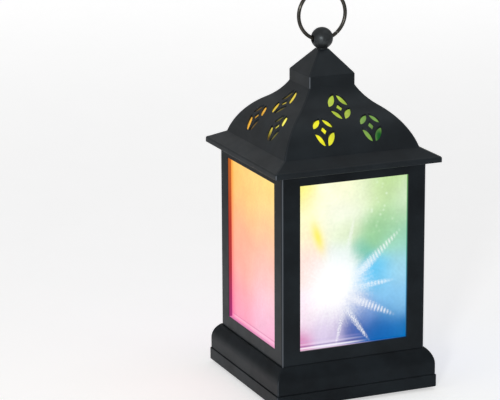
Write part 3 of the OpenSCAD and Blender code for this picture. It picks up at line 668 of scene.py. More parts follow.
# Lobes of light on a window: across and up from its middle, and reach, all in window widths,
# and a colour in display values.
FRONT_LOBES = (
    (-0.48, 0.66, 0.10, (252, 240, 84)), (-0.40, 0.50, 0.15, (255, 252, 196)),
    (-0.17, 0.48, 0.20, (250, 253, 242)), (-0.10, 0.68, 0.12, (252, 250, 200)),
    (0.10, 0.60, 0.13, (226, 240, 198)), (0.30, 0.62, 0.13, (188, 221, 148)),
    (0.48, 0.50, 0.12, (216, 234, 206)), (0.34, 0.36, 0.13, (164, 211, 154)),
    (0.18, 0.24, 0.11, (146, 203, 146)), (0.07, 0.12, 0.07, (96, 190, 172)),
    (0.42, 0.16, 0.14, (156, 213, 188)), (-0.08, 0.27, 0.12, (220, 236, 190)),
    (-0.12, 0.06, 0.10, (232, 246, 246)), (-0.40, 0.28, 0.10, (255, 246, 200)),
    (-0.46, 0.08, 0.13, (252, 222, 214)), (0.24, -0.10, 0.10, (90, 195, 242)),
    (0.44, -0.12, 0.13, (162, 216, 240)), (0.34, -0.34, 0.13, (132, 196, 238)),
    (0.12, -0.44, 0.09, (140, 164, 216)), (0.22, -0.62, 0.12, (0, 96, 174)),
    (0.34, -0.61, 0.14, (0, 98, 176)), (0.47, -0.62, 0.10, (0, 114, 184)),
    (0.02, -0.62, 0.09, (64, 92, 168)), (-0.27, -0.60, 0.13, (214, 200, 228)),
    (-0.49, -0.66, 0.08, (220, 116, 176)), (-0.47, -0.40, 0.12, (250, 228, 242)),
    (0.46, -0.42, 0.10, (142, 204, 242)),
)
LEFT_LOBES = (
    (-0.45, 0.62, 0.25, (255, 205, 104)), (0.00, 0.55, 0.25, (255, 214, 128)),
    (0.40, 0.62, 0.25, (255, 226, 122)), (-0.35, 0.30, 0.25, (254, 188, 132)),
    (0.35, 0.30, 0.25, (253, 200, 156)), (-0.35, -0.02, 0.24, (252, 170, 150)),
    (0.30, 0.00, 0.24, (252, 180, 160)), (-0.30, -0.22, 0.22, (252, 182, 156)),
    (0.35, -0.25, 0.22, (250, 199, 194)), (-0.38, -0.42, 0.22, (250, 158, 168)),
    (0.30, -0.42, 0.22, (248, 203, 225)), (-0.36, -0.62, 0.22, (246, 148, 188)),
    (0.25, -0.62, 0.22, (240, 176, 204)), (0.40, -0.70, 0.18, (240, 150, 196)),
)
RIGHT_LOBES = (
    (-0.42, 0.58, 0.26, (120, 214, 190)), (0.40, 0.60, 0.26, (118, 196, 238)),
    (-0.40, 0.20, 0.24, (96, 196, 232)), (0.36, 0.22, 0.24, (100, 150, 236)),
    (-0.38, -0.24, 0.24, (62, 150, 228)), (0.34, -0.20, 0.24, (122, 118, 226)),
    (-0.36, -0.62, 0.24, (24, 96, 206)), (0.36, -0.62, 0.26, (150, 96, 214)),
)
BACK_LOBES = (
    (-0.42, 0.58, 0.26, (176, 150, 238)), (0.02, 0.56, 0.24, (232, 176, 234)),
    (0.42, 0.58, 0.24, (255, 186, 150)), (-0.42, 0.18, 0.24, (168, 118, 230)),
    (0.40, 0.16, 0.24, (250, 150, 150)), (-0.40, -0.24, 0.22, (140, 96, 216)),
    (0.42, -0.26, 0.22, (244, 112, 150)), (-0.38, -0.64, 0.24, (112, 84, 206)),
    (0.04, -0.62, 0.22, (206, 100, 196)), (0.42, -0.64, 0.22, (232, 84, 128)),
)

# Beaded rays: where each starts and ends, across and up in window widths, its half width at
# the start, the slant of its beads, its strength and how far its beads stand out.
FRONT_RAYS = (
    ((0.00, -0.155), (0.475, 0.270), 0.072, -0.32, 0.72, 1.0),
    ((-0.02, -0.225), (0.41, -0.196), 0.060, 0.0, 0.70, 0.6),
    ((-0.05, -0.290), (0.42, -0.524), 0.078, 0.14, 0.78, 1.0),
    ((-0.07, -0.390), (0.17, -0.730), 0.048, 0.1, 0.80, 0.12),
    ((-0.08, -0.390), (-0.17, -0.760), 0.040, 0.1, 0.70, 0.08),
    ((-0.09, -0.060), (0.02, 0.430), 0.054, -0.1, 0.50, 0.2),
)
BACK_RAYS = tuple(
    (
        (0.05 + 0.16 * math.cos(turn), -0.12 + 0.16 * math.sin(turn)),
        (0.05 + reach * math.cos(turn), -0.12 + reach * math.sin(turn)),
        0.06, 0.0, 0.8, 1.0,
    )
    for turn, reach in ((0.5 + 0.8 * k, 0.55 + 0.06 * (k % 3)) for k in range(8))
)

# Each window has its lobes, its rays, and its white core with a place and a strength. Its edges
# get a painted glow of its light: the left and right one from the bottom up, and the bottom and
# top one from left to right, each as positions and display colours. The film behind the
# medallions has three colours from left to right, and some petals a tint, with a place and a
# reach in metres.
WINDOWS = {
    "front": {
        "lobes": FRONT_LOBES, "rays": FRONT_RAYS, "core": (-0.18, -0.20, 1.0),
        "edges": (
            ((0.0, (226, 120, 180)), (0.5, (250, 205, 170)), (1.0, (250, 225, 70))),
            ((0.0, (0, 96, 160)), (0.3, (90, 170, 215)), (0.55, (95, 185, 160)),
             (1.0, (130, 195, 105))),
            ((0.1, (246, 215, 236)), (0.45, (236, 205, 236)), (0.7, (80, 110, 180)),
             (1.0, (20, 90, 160))),
            ((0.0, (250, 228, 80)), (1.0, (120, 190, 90))),
        ),
        "film": ((238, 232, 44), (176, 198, 70), (118, 158, 78)),
        "tints": (
            (0.0212, -0.0412, 0.0036, (18, 88, 30)), (0.0125, -0.0425, 0.0026, (140, 184, 70)),
        ),
    },
    "right": {
        "lobes": RIGHT_LOBES, "rays": BACK_RAYS, "core": (0.05, -0.12, 0.75),
        "edges": (
            ((0.0, (0, 70, 190)), (1.0, (70, 190, 150))),
            ((0.0, (120, 70, 200)), (1.0, (90, 150, 225))),
            ((0.0, (0, 80, 190)), (1.0, (130, 80, 200))),
            ((0.0, (90, 200, 150)), (1.0, (90, 160, 225))),
        ),
        "film": ((70, 150, 96), (60, 140, 160), (70, 100, 200)), "tints": (),
    },
    "back": {
        "lobes": BACK_LOBES, "rays": BACK_RAYS, "core": (0.05, -0.12, 0.9),
        "edges": (
            ((0.0, (90, 60, 190)), (1.0, (150, 120, 225))),
            ((0.0, (220, 60, 110)), (1.0, (250, 150, 90))),
            ((0.0, (100, 70, 190)), (1.0, (220, 80, 130))),
            ((0.0, (170, 140, 230)), (1.0, (250, 170, 120))),
        ),
        "film": ((120, 90, 200), (190, 86, 170), (216, 90, 96)), "tints": (),
    },
    "left": {
        "lobes": LEFT_LOBES, "rays": (), "core": (0.12, -0.10, 0.0),
        "edges": (
            ((0.0, (170, 50, 120)), (0.3, (180, 44, 56)), (0.6, (190, 46, 28)),
             (1.0, (202, 104, 28))),
            ((0.0, (236, 120, 180)), (1.0, (250, 205, 90))),
            ((0.0, (226, 130, 180)), (1.0, (238, 166, 202))),
            ((0.0, (240, 150, 40)), (1.0, (250, 205, 80))),
        ),
        "film": ((238, 178, 66), (240, 216, 82), (246, 236, 100)),
        "tints": ((0.0105, -0.0430, 0.0042, (92, 72, 30)),),
    },
}

# Thin lines of painted light and shade over a pane's lower edge: height and half width in window
# widths, colour, strength.
FRONT_LINES = (
    (0.074, 0.010, (196, 178, 224), 0.22), (0.048, 0.008, (236, 224, 248), 0.42),
    (0.030, 0.0055, (104, 84, 150), 0.62), (0.014, 0.0075, (252, 248, 255), 0.85),
)
OTHER_LINES = ((0.034, 0.006, (206, 116, 160), 0.60), (0.018, 0.008, (252, 206, 228), 0.45))


def lit_pane(side, turn):
    """Frosted pane lit from inside by coloured lamps, seen as soft lobes of light.

    A white core with beaded rays is where the lamps shine through. The pattern lies in the
    pane's own plane: across it and up it from the window's middle, in window widths.
    """
    window, front = WINDOWS[side], side == "front"
    half_width, sill, head = opening()
    width = 2 * half_width
    tall = (head - sill) / width
    f = Finish("pane_" + side)
    flat = f.vector("MULTIPLY", f.turned(turn), (1 / width, 0, 1 / width))
    spot = f.vector("SUBTRACT", flat, (0, 0, (sill + head) / 2 / width))
    across, _, up = f.parts(spot)

    # a slow waver keeps the lobes from being round
    shift = f.vector("SUBTRACT", f.noise(3.2, place=spot, out="Color"), (0.5, 0.5, 0.5))
    soft = f.vector("ADD", spot, f.vector("MULTIPLY", shift, (0.09, 0, 0.09)))
    total, weights = (0, 0, 0), 1e-9
    for x, z, reach, colour in window["lobes"]:
        weight = f.lobe(f.vector("SUBTRACT", soft, (x, 0, z)), 1.25 * reach)
        total = f.vector("ADD", total, f.vector("SCALE", srgb(*colour), scale=weight))
        weights = f.math("ADD", weights, weight)
    colour = f.vector("DIVIDE", total, weights)

    # uneven film: soft clouds and a fine grid of cells
    cloud = f.remap(f.noise(5.5, detail=4, roughness=0.6, place=spot), 0.25, 0.75, 0.94, 1.05)
    fine = f.remap(f.noise(38, place=spot), 0.3, 0.7, 0.97, 1.03)
    waves = (
        f.math("SINE", f.math("MULTIPLY", way, 2 * math.pi / CELL)) for way in (across, up)
    )
    grid = f.math("MULTIPLY_ADD", f.math("MULTIPLY", *waves), 0.022, 1.0)
    colour = f.vector("SCALE", colour, scale=f.both(cloud, fine, grid))

    if front:
        # bright specks where the embossed film catches the light
        cells = f.node("ShaderNodeTexVoronoi", {"Scale": 19.0, "Vector": spot})
        dot = f.remap(cells.outputs["Distance"], 0.05, 0.36, 1.0, 0.0)
        close = f.lobe(f.vector("SUBTRACT", spot, (0.26, 0, 0.50)), 0.20)
        colour = f.mix(f.both(dot, close, 0.55), colour, (0.86, 1, 0.82))

    # a soft white core with fine streaks
    cx, cz, strength = window["core"]
    away = f.vector("SUBTRACT", spot, (cx, 0, cz))
    far = f.vector("LENGTH", away)
    streak = f.remap(f.noise(11.0, place=f.vector("NORMALIZE", away)), 0.36, 0.68)
    grain = f.noise(46.0, detail=3, roughness=0.7, place=spot)
    ragged = f.noise(85.0, roughness=0.6, place=spot)
    broken = f.remap(grain, 0.38, 0.62, 0.15, 1.0)
    star = f.both(streak, broken, f.remap(far, 0.24, 0.56, 1.0, 0.0), 0.07 * strength)
    reach = f.math("MULTIPLY_ADD", streak, -0.025, far)
    reach = f.math("MULTIPLY_ADD", grain, -0.20, f.math("ADD", reach, 0.10))
    white = f.math("MAXIMUM", star, f.remap(reach, 0.05, 0.42, strength, 0.0))

    # beaded rays, feathery at the core and narrower towards the tip
    for start, end, base, slope, strength, beads in window["rays"]:
        span = math.dist(start, end)
        c, s = (end[0] - start[0]) / span, (end[1] - start[1]) / span
        along, aside = f.beside(spot, start, c, s)
        out = f.math("DIVIDE", along, span)
        half = f.math("MULTIPLY_ADD", f.math("MINIMUM", out, 1.0), -0.85 * base, base)
        ratio = f.math("DIVIDE", f.math("ABSOLUTE", aside), half)
        ratio = f.math("MULTIPLY_ADD", ragged, -1.3, f.math("ADD", ratio, 0.65))
        thin = f.remap(ratio, 0.15, 1.15, 1.0, 0.0)
        phase = f.math("MULTIPLY_ADD", aside, slope, along)
        wave = f.math("SINE", f.math("MULTIPLY", phase, 2 * math.pi / BEAD))
        depth = f.remap(out, 0.15, 0.6, 0.02, 0.46 * beads)
        bead = f.math("MULTIPLY_ADD", f.math("ADD", wave, -1.0), depth, 1.0)
        run = f.both(f.remap(along, -0.06, 0.02), f.remap(out, 0.72, 1.0, 1.0, 0.0))
        # a ray with faint beads is ragged instead
        rough = f.remap(ragged, 0.40, 0.60, 0.25 + 0.55 * beads, 1.0)
        ray = f.both(thin, run, bead, rough, strength)
        white = f.math("MAXIMUM", white, ray, clamp=True)
    colour = f.mix(white, colour, (1, 1, 1))

    if front:
        # a yellow glint beside the core
        lean = math.radians(-72)
        along, aside = f.beside(spot, (-0.326, 0.258), math.cos(lean), math.sin(lean))
        glint = f.both(f.stripe(along, 0.13), f.stripe(aside, 0.042), 0.95)
        colour = f.mix(glint, colour, srgb(253, 238, 104))

    # the ledge under the pane shows as thin lines of painted light and shade along its lower edge
    bottom = f.math("ADD", up, tall / 2)
    reach = f.remap(across, -0.05, 0.17, 1.0, 0.0) if front else 1.0
    for height, half, line_colour, strength in FRONT_LINES if front else OTHER_LINES:
        line = f.stripe(f.math("SUBTRACT", bottom, height), half)
        colour = f.mix(f.both(line, reach, strength), colour, srgb(*line_colour))

    if side == "left":
        # a deeper band where the pane runs into its far channel
        band = f.ramp(
            f.remap(up, -tall / 2, tall / 2, kind="LINEAR"),
            ((0.0, (250, 112, 170)), (0.5, (255, 128, 100)), (1.0, (255, 158, 44))),
        )
        colour = f.mix(f.remap(across, -0.43, -0.50, 0.0, 0.7), colour, band)

    f.set(
        Base_Color=f.vector("SCALE", colour, scale=0.06),
        Emission_Color=colour,
        Emission_Strength=finishes().glow,
        Roughness=0.32,
        Specular_IOR_Level=0.15,
    )
    f.bump(f.noise(60, place=spot), 0.03, 0.0003)
    return f.material


def lit_film(side, turn):
    """Translucent film lit from below, its colour changing from one medallion to the next."""
    first, second, third = (srgb(*colour) for colour in WINDOWS[side]["film"])
    f = Finish("film_" + side)
    spot = f.turned(turn)
    across = f.parts(spot)[0]
    colour = f.mix(f.remap(across, -0.016, -0.002), first, second)
    colour = f.mix(f.remap(across, 0.002, 0.014), colour, third)
    # some petals are lit by the lamp of the next colour
    for x, y, reach, tint in WINDOWS[side]["tints"]:
        away = f.vector("MULTIPLY", f.vector("SUBTRACT", spot, (x, y, 0)), (1, 1, 0))
        weight = f.math("MULTIPLY", f.lobe(away, reach), 1.15, clamp=True)
        colour = f.mix(weight, colour, srgb(*tint))
    if side == "left":
        # painted shade on the petals of one diagonal: the film there is bent, so that they see no
        # lamp
        for x, y in ((-0.0205, -0.0365), (-0.0044, -0.0243), (0.0121, -0.0365)):
            dx, dy, _ = f.parts(f.vector("SUBTRACT", spot, (x, y, 0)))
            off = f.math("MAXIMUM", f.math("ABSOLUTE", dx), f.math("ABSOLUTE", dy))
            dim = f.both(
                f.remap(off, 7.8 * MM, 8.8 * MM, 1.0, 0.0),
                f.remap(f.math("MULTIPLY", dx, dy), -5e-6, 3e-6, 0.85, 0.0),
            )
            colour = f.mix(dim, colour, srgb(52, 50, 34))
    cloud = f.remap(f.noise(160, detail=3), 0.25, 0.75, 0.8, 1.12)
    colour = f.vector("SCALE", colour, scale=cloud)
    f.set(
        Base_Color=f.vector("SCALE", colour, scale=0.1),
        Emission_Color=colour,
        Emission_Strength=finishes().film_glow,
        Roughness=0.4,
    )
    return f.material


# ---------------------------------------------------------------- operators


class LANTERN_OT_body(bpy.types.Operator):
    """Models the square body with its four window openings"""

    bl_idname = "lantern.body"
    bl_label = "Body"
    bl_options = {"REGISTER", "UNDO"}

    def execute(self, context):
        size = sizes()
        low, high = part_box("body_frame")
        window, sill, head = opening()
        half = high.x
        inner, over = half - size.body_wall, 2 * MM
        body = add_box("lantern_body", (-half, -half, low.z), (half, half, high.z))
        bevel(body, size.body_edge, 6, lambda e: abs(e.verts[0].co.z - e.verts[1].co.z) > MM)
        for name, x, y, bottom, top in (
            ("hollow", inner, inner, low.z - over, high.z + over),
            ("opening", window, half + over, sill, head),
            ("opening", half + over, window, sill, head),
        ):
            combine(body, add_box(name, (-x, -y, bottom), (x, y, top)))

        def window_edge(edge):
            ends = [v.co for v in edge.verts]
            level = near(ends[0].z, ends[1].z) and all(
                near(p.z, sill) or near(p.z, head) for p in ends
            )
            return any(
                all(near(abs(p[i]), half) and abs(p[1 - i]) < window + NEAR for p in ends)
                and (level or all(near(abs(p[1 - i]), window) for p in ends))
                for i in (0, 1)
            )

        bevel(body, size.window_edge, 2, window_edge)
        fit_out(body, "lantern", "black_plastic", kept("body_plastic_painted_glow", body_plastic_painted_glow), "body_frame")
        return {"FINISHED"}


class LANTERN_OT_rails(bpy.types.Operator):
    """Models the channels that hold the panes, and the screw posts in the body's corners"""

    bl_idname = "lantern.rails"
    bl_label = "Rails and posts"
    bl_options = {"REGISTER", "UNDO"}

    def execute(self, context):
        size = sizes()
        low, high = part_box("body_frame")
        pane_low, pane_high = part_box("pane_front")
        inner = high.x - size.body_wall
        slide, rib, ledge = 0.1 * MM, 1.2 * MM, 1.8 * MM
        back = -inner + ((pane_high.y - pane_low.y) + 2 * slide)
        edge = pane_high.x + slide
        lip = high.x - size.stile + 0.5 * MM
        foot = pane_low.z - ledge
        rail = add_box("rail", (edge, -inner, foot), (edge + rib, back + rib, pane_high.z))
        with editing(rail):
            pick(rail, "FACE", lambda face: face.normal.x < -0.9)
            bpy.ops.mesh.bisect(plane_co=(0, back, 0), plane_no=(0, 1, 0), use_fill=False)
            pick(rail, "FACE", lambda face: face.normal.x < -0.9 and middle(face).y > back)
            pull(lip - edge, 0, 0)
            turn_faces()
        twin = copy_of(rail, "rail_twin")
        with editing(twin):
            bpy.ops.mesh.select_all(action="SELECT")
            bpy.ops.transform.mirror(constraint_axis=(True, False, False))
            bpy.ops.mesh.flip_normals()
        shelf = add_box("shelf", (-edge, -inner, foot), (edge, back + rib, pane_low.z))
        bevel(
            shelf, 0.3 * MM, 2,
            lambda e: middle(e).y > back and middle(e).z > pane_low.z - MM,
        )
        names = ["pane_channel_" + side for side, _ in SIDES]
        fit_round(merge("channel", rail, twin, shelf), names, "body_frame")

        x, _ = screw_reach("body_screws")
        posts = []
        for bottom, top, bore in (
            (low.z, low.z + 10 * MM, PILOT), (high.z - 8.4 * MM, high.z - 6 * MM, CLEARANCE)
        ):
            post = add_post("post", POST, (x, x), bottom, top)
            web = add_box("web", (edge + rib, edge + rib, bottom), (inner, inner, top))
            combine(post, web, "UNION")
            combine(post, add_post("hole", bore, (x, x), bottom - MM, top + MM, 32))
            posts.append(post)
        names = [f"corner_post_{k}" for k in range(1, 5)]
        fit_round(merge("posts", *posts), names, "body_frame")
        return {"FINISHED"}


class LANTERN_OT_panes(bpy.types.Operator):
    """Models the four lit panes"""

    bl_idname = "lantern.panes"
    bl_label = "Panes"
    bl_options = {"REGISTER", "UNDO"}

    def execute(self, context):
        pane = add_box("pane", *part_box("pane_front"))
        bevel(pane, sizes().pane_edge, 2)
        for side, turn in SIDES:
            piece = copy_of(pane, "lit_pane_" + side, turn)
            fit_out(piece, "lantern", "window_pane", lit_pane(side, turn), "pane_" + side)
        bpy.data.objects.remove(pane)
        return {"FINISHED"}


class LANTERN_OT_roof(bpy.types.Operator):
    """Models the ogee roof with its eaves, pierced medallions, cupola and cap"""

    bl_idname = "lantern.roof"
    bl_label = "Roof"
    bl_options = {"REGISTER", "UNDO"}

    def execute(self, context):
        size = sizes()
        low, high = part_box("roof_shell")
        skin, wall = size.roof_skin, size.roof_wall
        eave, lip_z, cap_top = high.x, low.z + 1.48 * MM, high.z
        lip = lip_z + 3.9 * MM
        foot, waist, neck = (
            (46.9 * MM, lip + 4.8 * MM), (27.5 * MM, 185.5 * MM), (16 * MM, 197.58 * MM)
        )
        start_angle, steps = 108, 18
        lower_edge, upper_edge, cap_edge = 0.35 * MM, 1.3 * MM, 0.4 * MM
        convex, waist_angle = arc(foot, waist, start_angle, steps)
        hollow, neck_angle = arc(waist, neck, waist_angle, steps)
        cap_z = neck[1] + 7.6 * MM
        cap_half = 3.6 * MM
        slope = math.atan2(cap_top - cap_z, neck[0] - cap_half)

        def inwards(point, angle, depth=skin):
            a = math.radians(angle)
            return (point[0] - depth * math.sin(a), point[1] + depth * math.cos(a))

        def inner_curves(depth):
            """The dome's and the waist's curves, set in by a depth."""
            start, turn, end = (
                inwards(foot, start_angle, depth), inwards(waist, waist_angle, depth),
                inwards(neck, neck_angle, depth),
            )
            dome = [start, *arc(start, turn, start_angle, steps)[0]]
            return dome, arc(turn, end, waist_angle, steps)[0]

        flare = math.degrees(math.atan2(foot[1] - lip, eave - upper_edge - foot[0]))
        dome_in, hollow_in = inner_curves(skin)
        flare_in = inwards(foot, 180 - flare)
        lip_in = eave - wall
        ceiling = cap_top - 4.6 * MM
        turn_z = cap_z - wall * math.tan((math.pi / 2 - slope) / 2)
        inside = [
            (neck[0] - wall - (ceiling - turn_z) / math.tan(slope), ceiling),
            (neck[0] - wall, turn_z),
            (neck[0] - wall, hollow_in[-1][1]),
            *reversed([*dome_in, *hollow_in][:-1]),
            flare_in,
            (lip_in, flare_in[1] - (lip_in - flare_in[0]) * math.tan(math.radians(flare))),
            (lip_in, lip_z),
        ]
        under = (eave - lower_edge, lip_z)
        over = (eave, lip - upper_edge)
        outside = [
            under, *arc(under, (eave, lip_z + lower_edge), 0, 5)[0],
            over, *arc(over, (eave - upper_edge, lip), 90, 5)[0],
            foot, *convex, *hollow, (neck[0], cap_z - cap_edge),
            (neck[0] - cap_edge / math.tan(slope), cap_z + cap_edge / 2), (cap_half, cap_top),
        ]
        roof = turned_square("lantern_roof", inside + outside)
        self.pierce(roof, lip, cap_z)
        round_hips(roof, outside[1:], size.hip_edge)
        material = kept("roof_plastic", mould, 1.0, 0.27)
        fit_out(roof, "lantern", "black_plastic", material, "roof_shell")
        core, _ = inner_curves(skin / 2)
        self.bosses([(core[0][0], low.z - MM), *core])
        return {"FINISHED"}

    def pierce(self, roof, low, high):
        """Cuts three medallions through each face: four petals round a square."""
        size = sizes()
        half_l, half_w = size.petal_length / 2, size.petal_width / 2
        radius = (half_l**2 + half_w**2) / (2 * half_w)
        petal, other = (
            add_post("petal", radius, (0, way * (radius - half_w)), low, high, 72)
            for way in (-1, 1)
        )
        combine(petal, other, "INTERSECT")
        side = size.pierced_square / 2
        square = add_box("square", (-side, -side, low), (side, side, high))
        pieces = [copy_of(square, "square_turned", 45)]
        for degrees in (45, 135, 225, 315):
            turn = math.radians(degrees)
            move = Vector((math.sin(turn), -math.cos(turn), 0)) * size.petal_ring
            pieces.append(copy_of(petal, "petal_turned", degrees, move))
        medallion = merge("medallion", *pieces)
        cutters = []
        for x, y, rise in (
            (0, -26.2 * MM, size.upper_rise),
            (-16.3 * MM, -38.3 * MM, size.lower_rise), (16.3 * MM, -38.3 * MM, size.lower_rise),
        ):
            stretched = copy_of(medallion, "stretched")
            stretched.scale.y = rise
            settle(stretched, "stretched")
            for turn in (0, 90, 180, 270):
                spot = Matrix.Rotation(math.radians(turn), 3, "Z") @ Vector((x, y, 0))
                cutters.append(copy_of(stretched, "cut", turn, spot))
            bpy.data.objects.remove(stretched)
        for used in (petal, square, medallion):
            bpy.data.objects.remove(used)
        combine(roof, merge("medallions", *cutters))

    def bosses(self, core):
        """The four screw bosses that hang under the dome's corners, trimmed to its inside."""
        x, _ = screw_reach("roof_screws")
        boss = add_post("boss", POST, (x, x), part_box("roof_shell")[0].z, core[-1][1])
        combine(boss, turned_square("core", core), "INTERSECT")
        with editing(boss):
            pick(boss, "FACE", lambda face: face.normal.z < -0.9)
            bpy.ops.mesh.inset(thickness=POST - PILOT)
            pull(0, 0, 9 * MM)
        fit_round(boss, [f"roof_boss_{k}" for k in range(1, 5)], "roof_shell")


class LANTERN_OT_finial(bpy.types.Operator):
    """Models the ball on its short neck, bored for the ring"""

    bl_idname = "lantern.finial"
    bl_label = "Finial"
    bl_options = {"REGISTER", "UNDO"}

    def execute(self, context):
        low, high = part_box("finial_ball")
        radius, bore, neck_radius = high.y, 2.4 * MM, 3.3 * MM
        centre = high.z - radius
        pilot_top, reach = centre - 2.7 * MM, radius + MM
        ball = add(
            "uv_sphere", "finial", segments=64, ring_count=48, radius=radius,
            location=(0, 0, centre),
        )
        neck = add_post("neck", neck_radius, (0, 0), low.z - MM, centre - radius / 2)
        combine(ball, neck, "UNION")
        below = add_box("below", (-radius, -radius, low.z - radius), (radius, radius, low.z))
        combine(ball, below)
        combine(ball, add_rod("bore", bore, (-reach, 0, centre), (reach, 0, centre), "X"))
        combine(ball, add_post("pilot", PILOT, (0, 0), low.z - MM, pilot_top, 32))

        def bore_rim(edge):
            ends = [v.co for v in edge.verts]
            return abs(ends[0].x - ends[1].x) < MM and all(
                abs(math.hypot(p.y, p.z - centre) - bore) < 2 * NEAR and abs(p.x) > radius / 2
                for p in ends
            )

        bevel(ball, 0.3 * MM, 2, bore_rim)
        colour = tuple(finishes().finial)
        material = kept("finial_plastic", gloss_plastic, colour, 0.44, 0.004, 0.75)
        fit_out(ball, "lantern", "finial_plastic", material, "finial_ball")
        return {"FINISHED"}


class LANTERN_OT_ring(bpy.types.Operator):
    """Models the wire ring, bent round until its two ends meet"""

    bl_idname = "lantern.ring"
    bl_label = "Ring"
    bl_options = {"REGISTER", "UNDO"}

    def execute(self, context):
        low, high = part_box("ring_handle")
        wire = (high.y - low.y) / 2
        radius = (high.x - low.x) / 2 - wire
        centre = Vector((0, 0, (low.z + high.z) / 2))
        ring = add(
            "circle", "wire_ring", vertices=24, radius=wire, fill_type="NOTHING",
            location=centre + Vector((radius, 0, 0)),
        )
        turn = 2 * math.pi - sizes().ring_gap / radius
        with editing(ring):
            bpy.ops.mesh.select_all(action="SELECT")
            bpy.ops.mesh.spin(steps=120, angle=turn, center=centre, axis=(0, 1, 0), dupli=False)
            bpy.ops.mesh.select_all(action="SELECT")
            bpy.ops.mesh.remove_doubles(threshold=1e-7)
            bpy.ops.mesh.fill_holes(sides=0)
            turn_faces()
        bevel(ring, 0.25 * MM, 2, lambda e: any(len(face.verts) > 4 for face in e.link_faces))
        # the joint lies where the photograph doesn't show it
        turn_mesh(ring, -50, "Y", centre)
        fit_out(ring, "ring", "ring_wire", kept("ring_wire", wire_finish), "ring_handle", angle=40)
        return {"FINISHED"}


class LANTERN_OT_plinth(bpy.types.Operator):
    """Models the moulded plinth that the body sits in"""

    bl_idname = "lantern.plinth"
    bl_label = "Plinth"
    bl_options = {"REGISTER", "UNDO"}

    def execute(self, context):
        half, _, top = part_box("plinth")[1]
        body_low, body_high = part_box("body_frame")
        deck, pocket = body_low.z, body_high.x + 0.3 * MM
        rim, lip, chamfer = pocket + 0.6 * MM, 0.15 * MM, 0.4 * MM
        flank, wall = (half, SEAM + 6.7 * MM), 2.2 * MM
        shoulder, _ = arc(flank, (rim, top), 90, 16)
        outline = [*reversed(shoulder), flank, (half, SEAM + chamfer)]
        plinth = turned_square("lantern_plinth", [
            (pocket, deck), (pocket, top - lip), (pocket + lip, top), *outline,
            (half - chamfer, SEAM), (half - wall, SEAM), (half - wall, deck - 2 * MM),
        ])
        boss_radius, boss_foot = 3.4 * MM, 6.4 * MM
        tray_spots = corners(*screw_reach("tray_screws"))
        for spot in tray_spots:
            boss = add_post("boss", boss_radius, spot, boss_foot, deck - 1.5 * MM)
            combine(plinth, boss, "UNION")
        x, _ = screw_reach("body_screws")
        lamp_x, _ = screw_reach("lamp_screws")
        lamp_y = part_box("lamp_screws")[0].y + SCREW_HEAD
        peg, leads = 1.45 * MM, 2.8 * MM
        through = [(spot, CLEARANCE) for spot in corners(x, x)]
        for way in (-1, 1):
            through += [((way * lamp_x, lamp_y), CLEARANCE), ((way * lamp_x, -lamp_y), peg)]
        through.append(((0, -8.3 * MM), leads))
        holes = [
            add_post("hole", radius, spot, deck - 3 * MM, deck + MM, 32) for spot, radius in through
        ]
        holes += [add_post("pilot", PILOT, spot, 5.4 * MM, 15.9 * MM, 32) for spot in tray_spots]
        combine(plinth, merge("holes", *holes))
        round_hips(plinth, outline, sizes().base_edge)
        fit_black(plinth, "plinth")
        return {"FINISHED"}


class LANTERN_OT_tray(bpy.types.Operator):
    """Softens the tray's outer edges on a copy of its CAD shape"""

    bl_idname = "lantern.tray"
    bl_label = "Tray"
    bl_options = {"REGISTER", "UNDO"}

    def execute(self, context):
        tray = copy_of(frame["nodes"]["base_tray"], "lantern_tray")
        for key in [k for k in tray.keys() if k.startswith("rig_")]:
            del tray[key]
        with editing(tray):
            bpy.ops.mesh.select_all(action="SELECT")
            bpy.ops.mesh.remove_doubles(threshold=1e-6)
            bpy.ops.mesh.dissolve_limited(angle_limit=math.radians(0.4))
        half, edge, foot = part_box("base_tray")[1].x, 0.4 * MM, 2 * MM
        line = [
            (half - edge, foot), (half, foot + edge), (half, SEAM - edge), (half - edge, SEAM)
        ]
        round_hips(tray, line, sizes().base_edge)
        fit_black(tray, "base_tray")
        return {"FINISHED"}


class LANTERN_OT_feet(bpy.types.Operator):
    """Models one dished rubber foot and copies it to the four corners"""

    bl_idname = "lantern.feet"
    bl_label = "Feet"
    bl_options = {"REGISTER", "UNDO"}

    def execute(self, context):
        low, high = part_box("foot_front_left")
        spot = (low + high) / 2
        foot = add_post("foot", (high.x - low.x) / 2, spot.xy, low.z, high.z)
        bevel(foot, 0.4 * MM, 3, lambda e: all(near(v.co.z, low.z) for v in e.verts))
        with editing(foot):
            pick(foot, "FACE", lambda face: face.normal.z < -0.99)
            bpy.ops.mesh.inset(thickness=1.2 * MM)
            bpy.ops.mesh.inset(thickness=0.5 * MM, depth=-sizes().foot_dish)
        for name in ("front_left", "front_right", "back_left", "back_right"):
            node = "foot_" + name
            twin = copy_of(foot, "rubber_" + node, 0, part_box(node)[0] - low)
            fit_out(twin, "lantern", "rubber", kept("rubber", rubber_finish), node)
        bpy.data.objects.remove(foot)
        return {"FINISHED"}


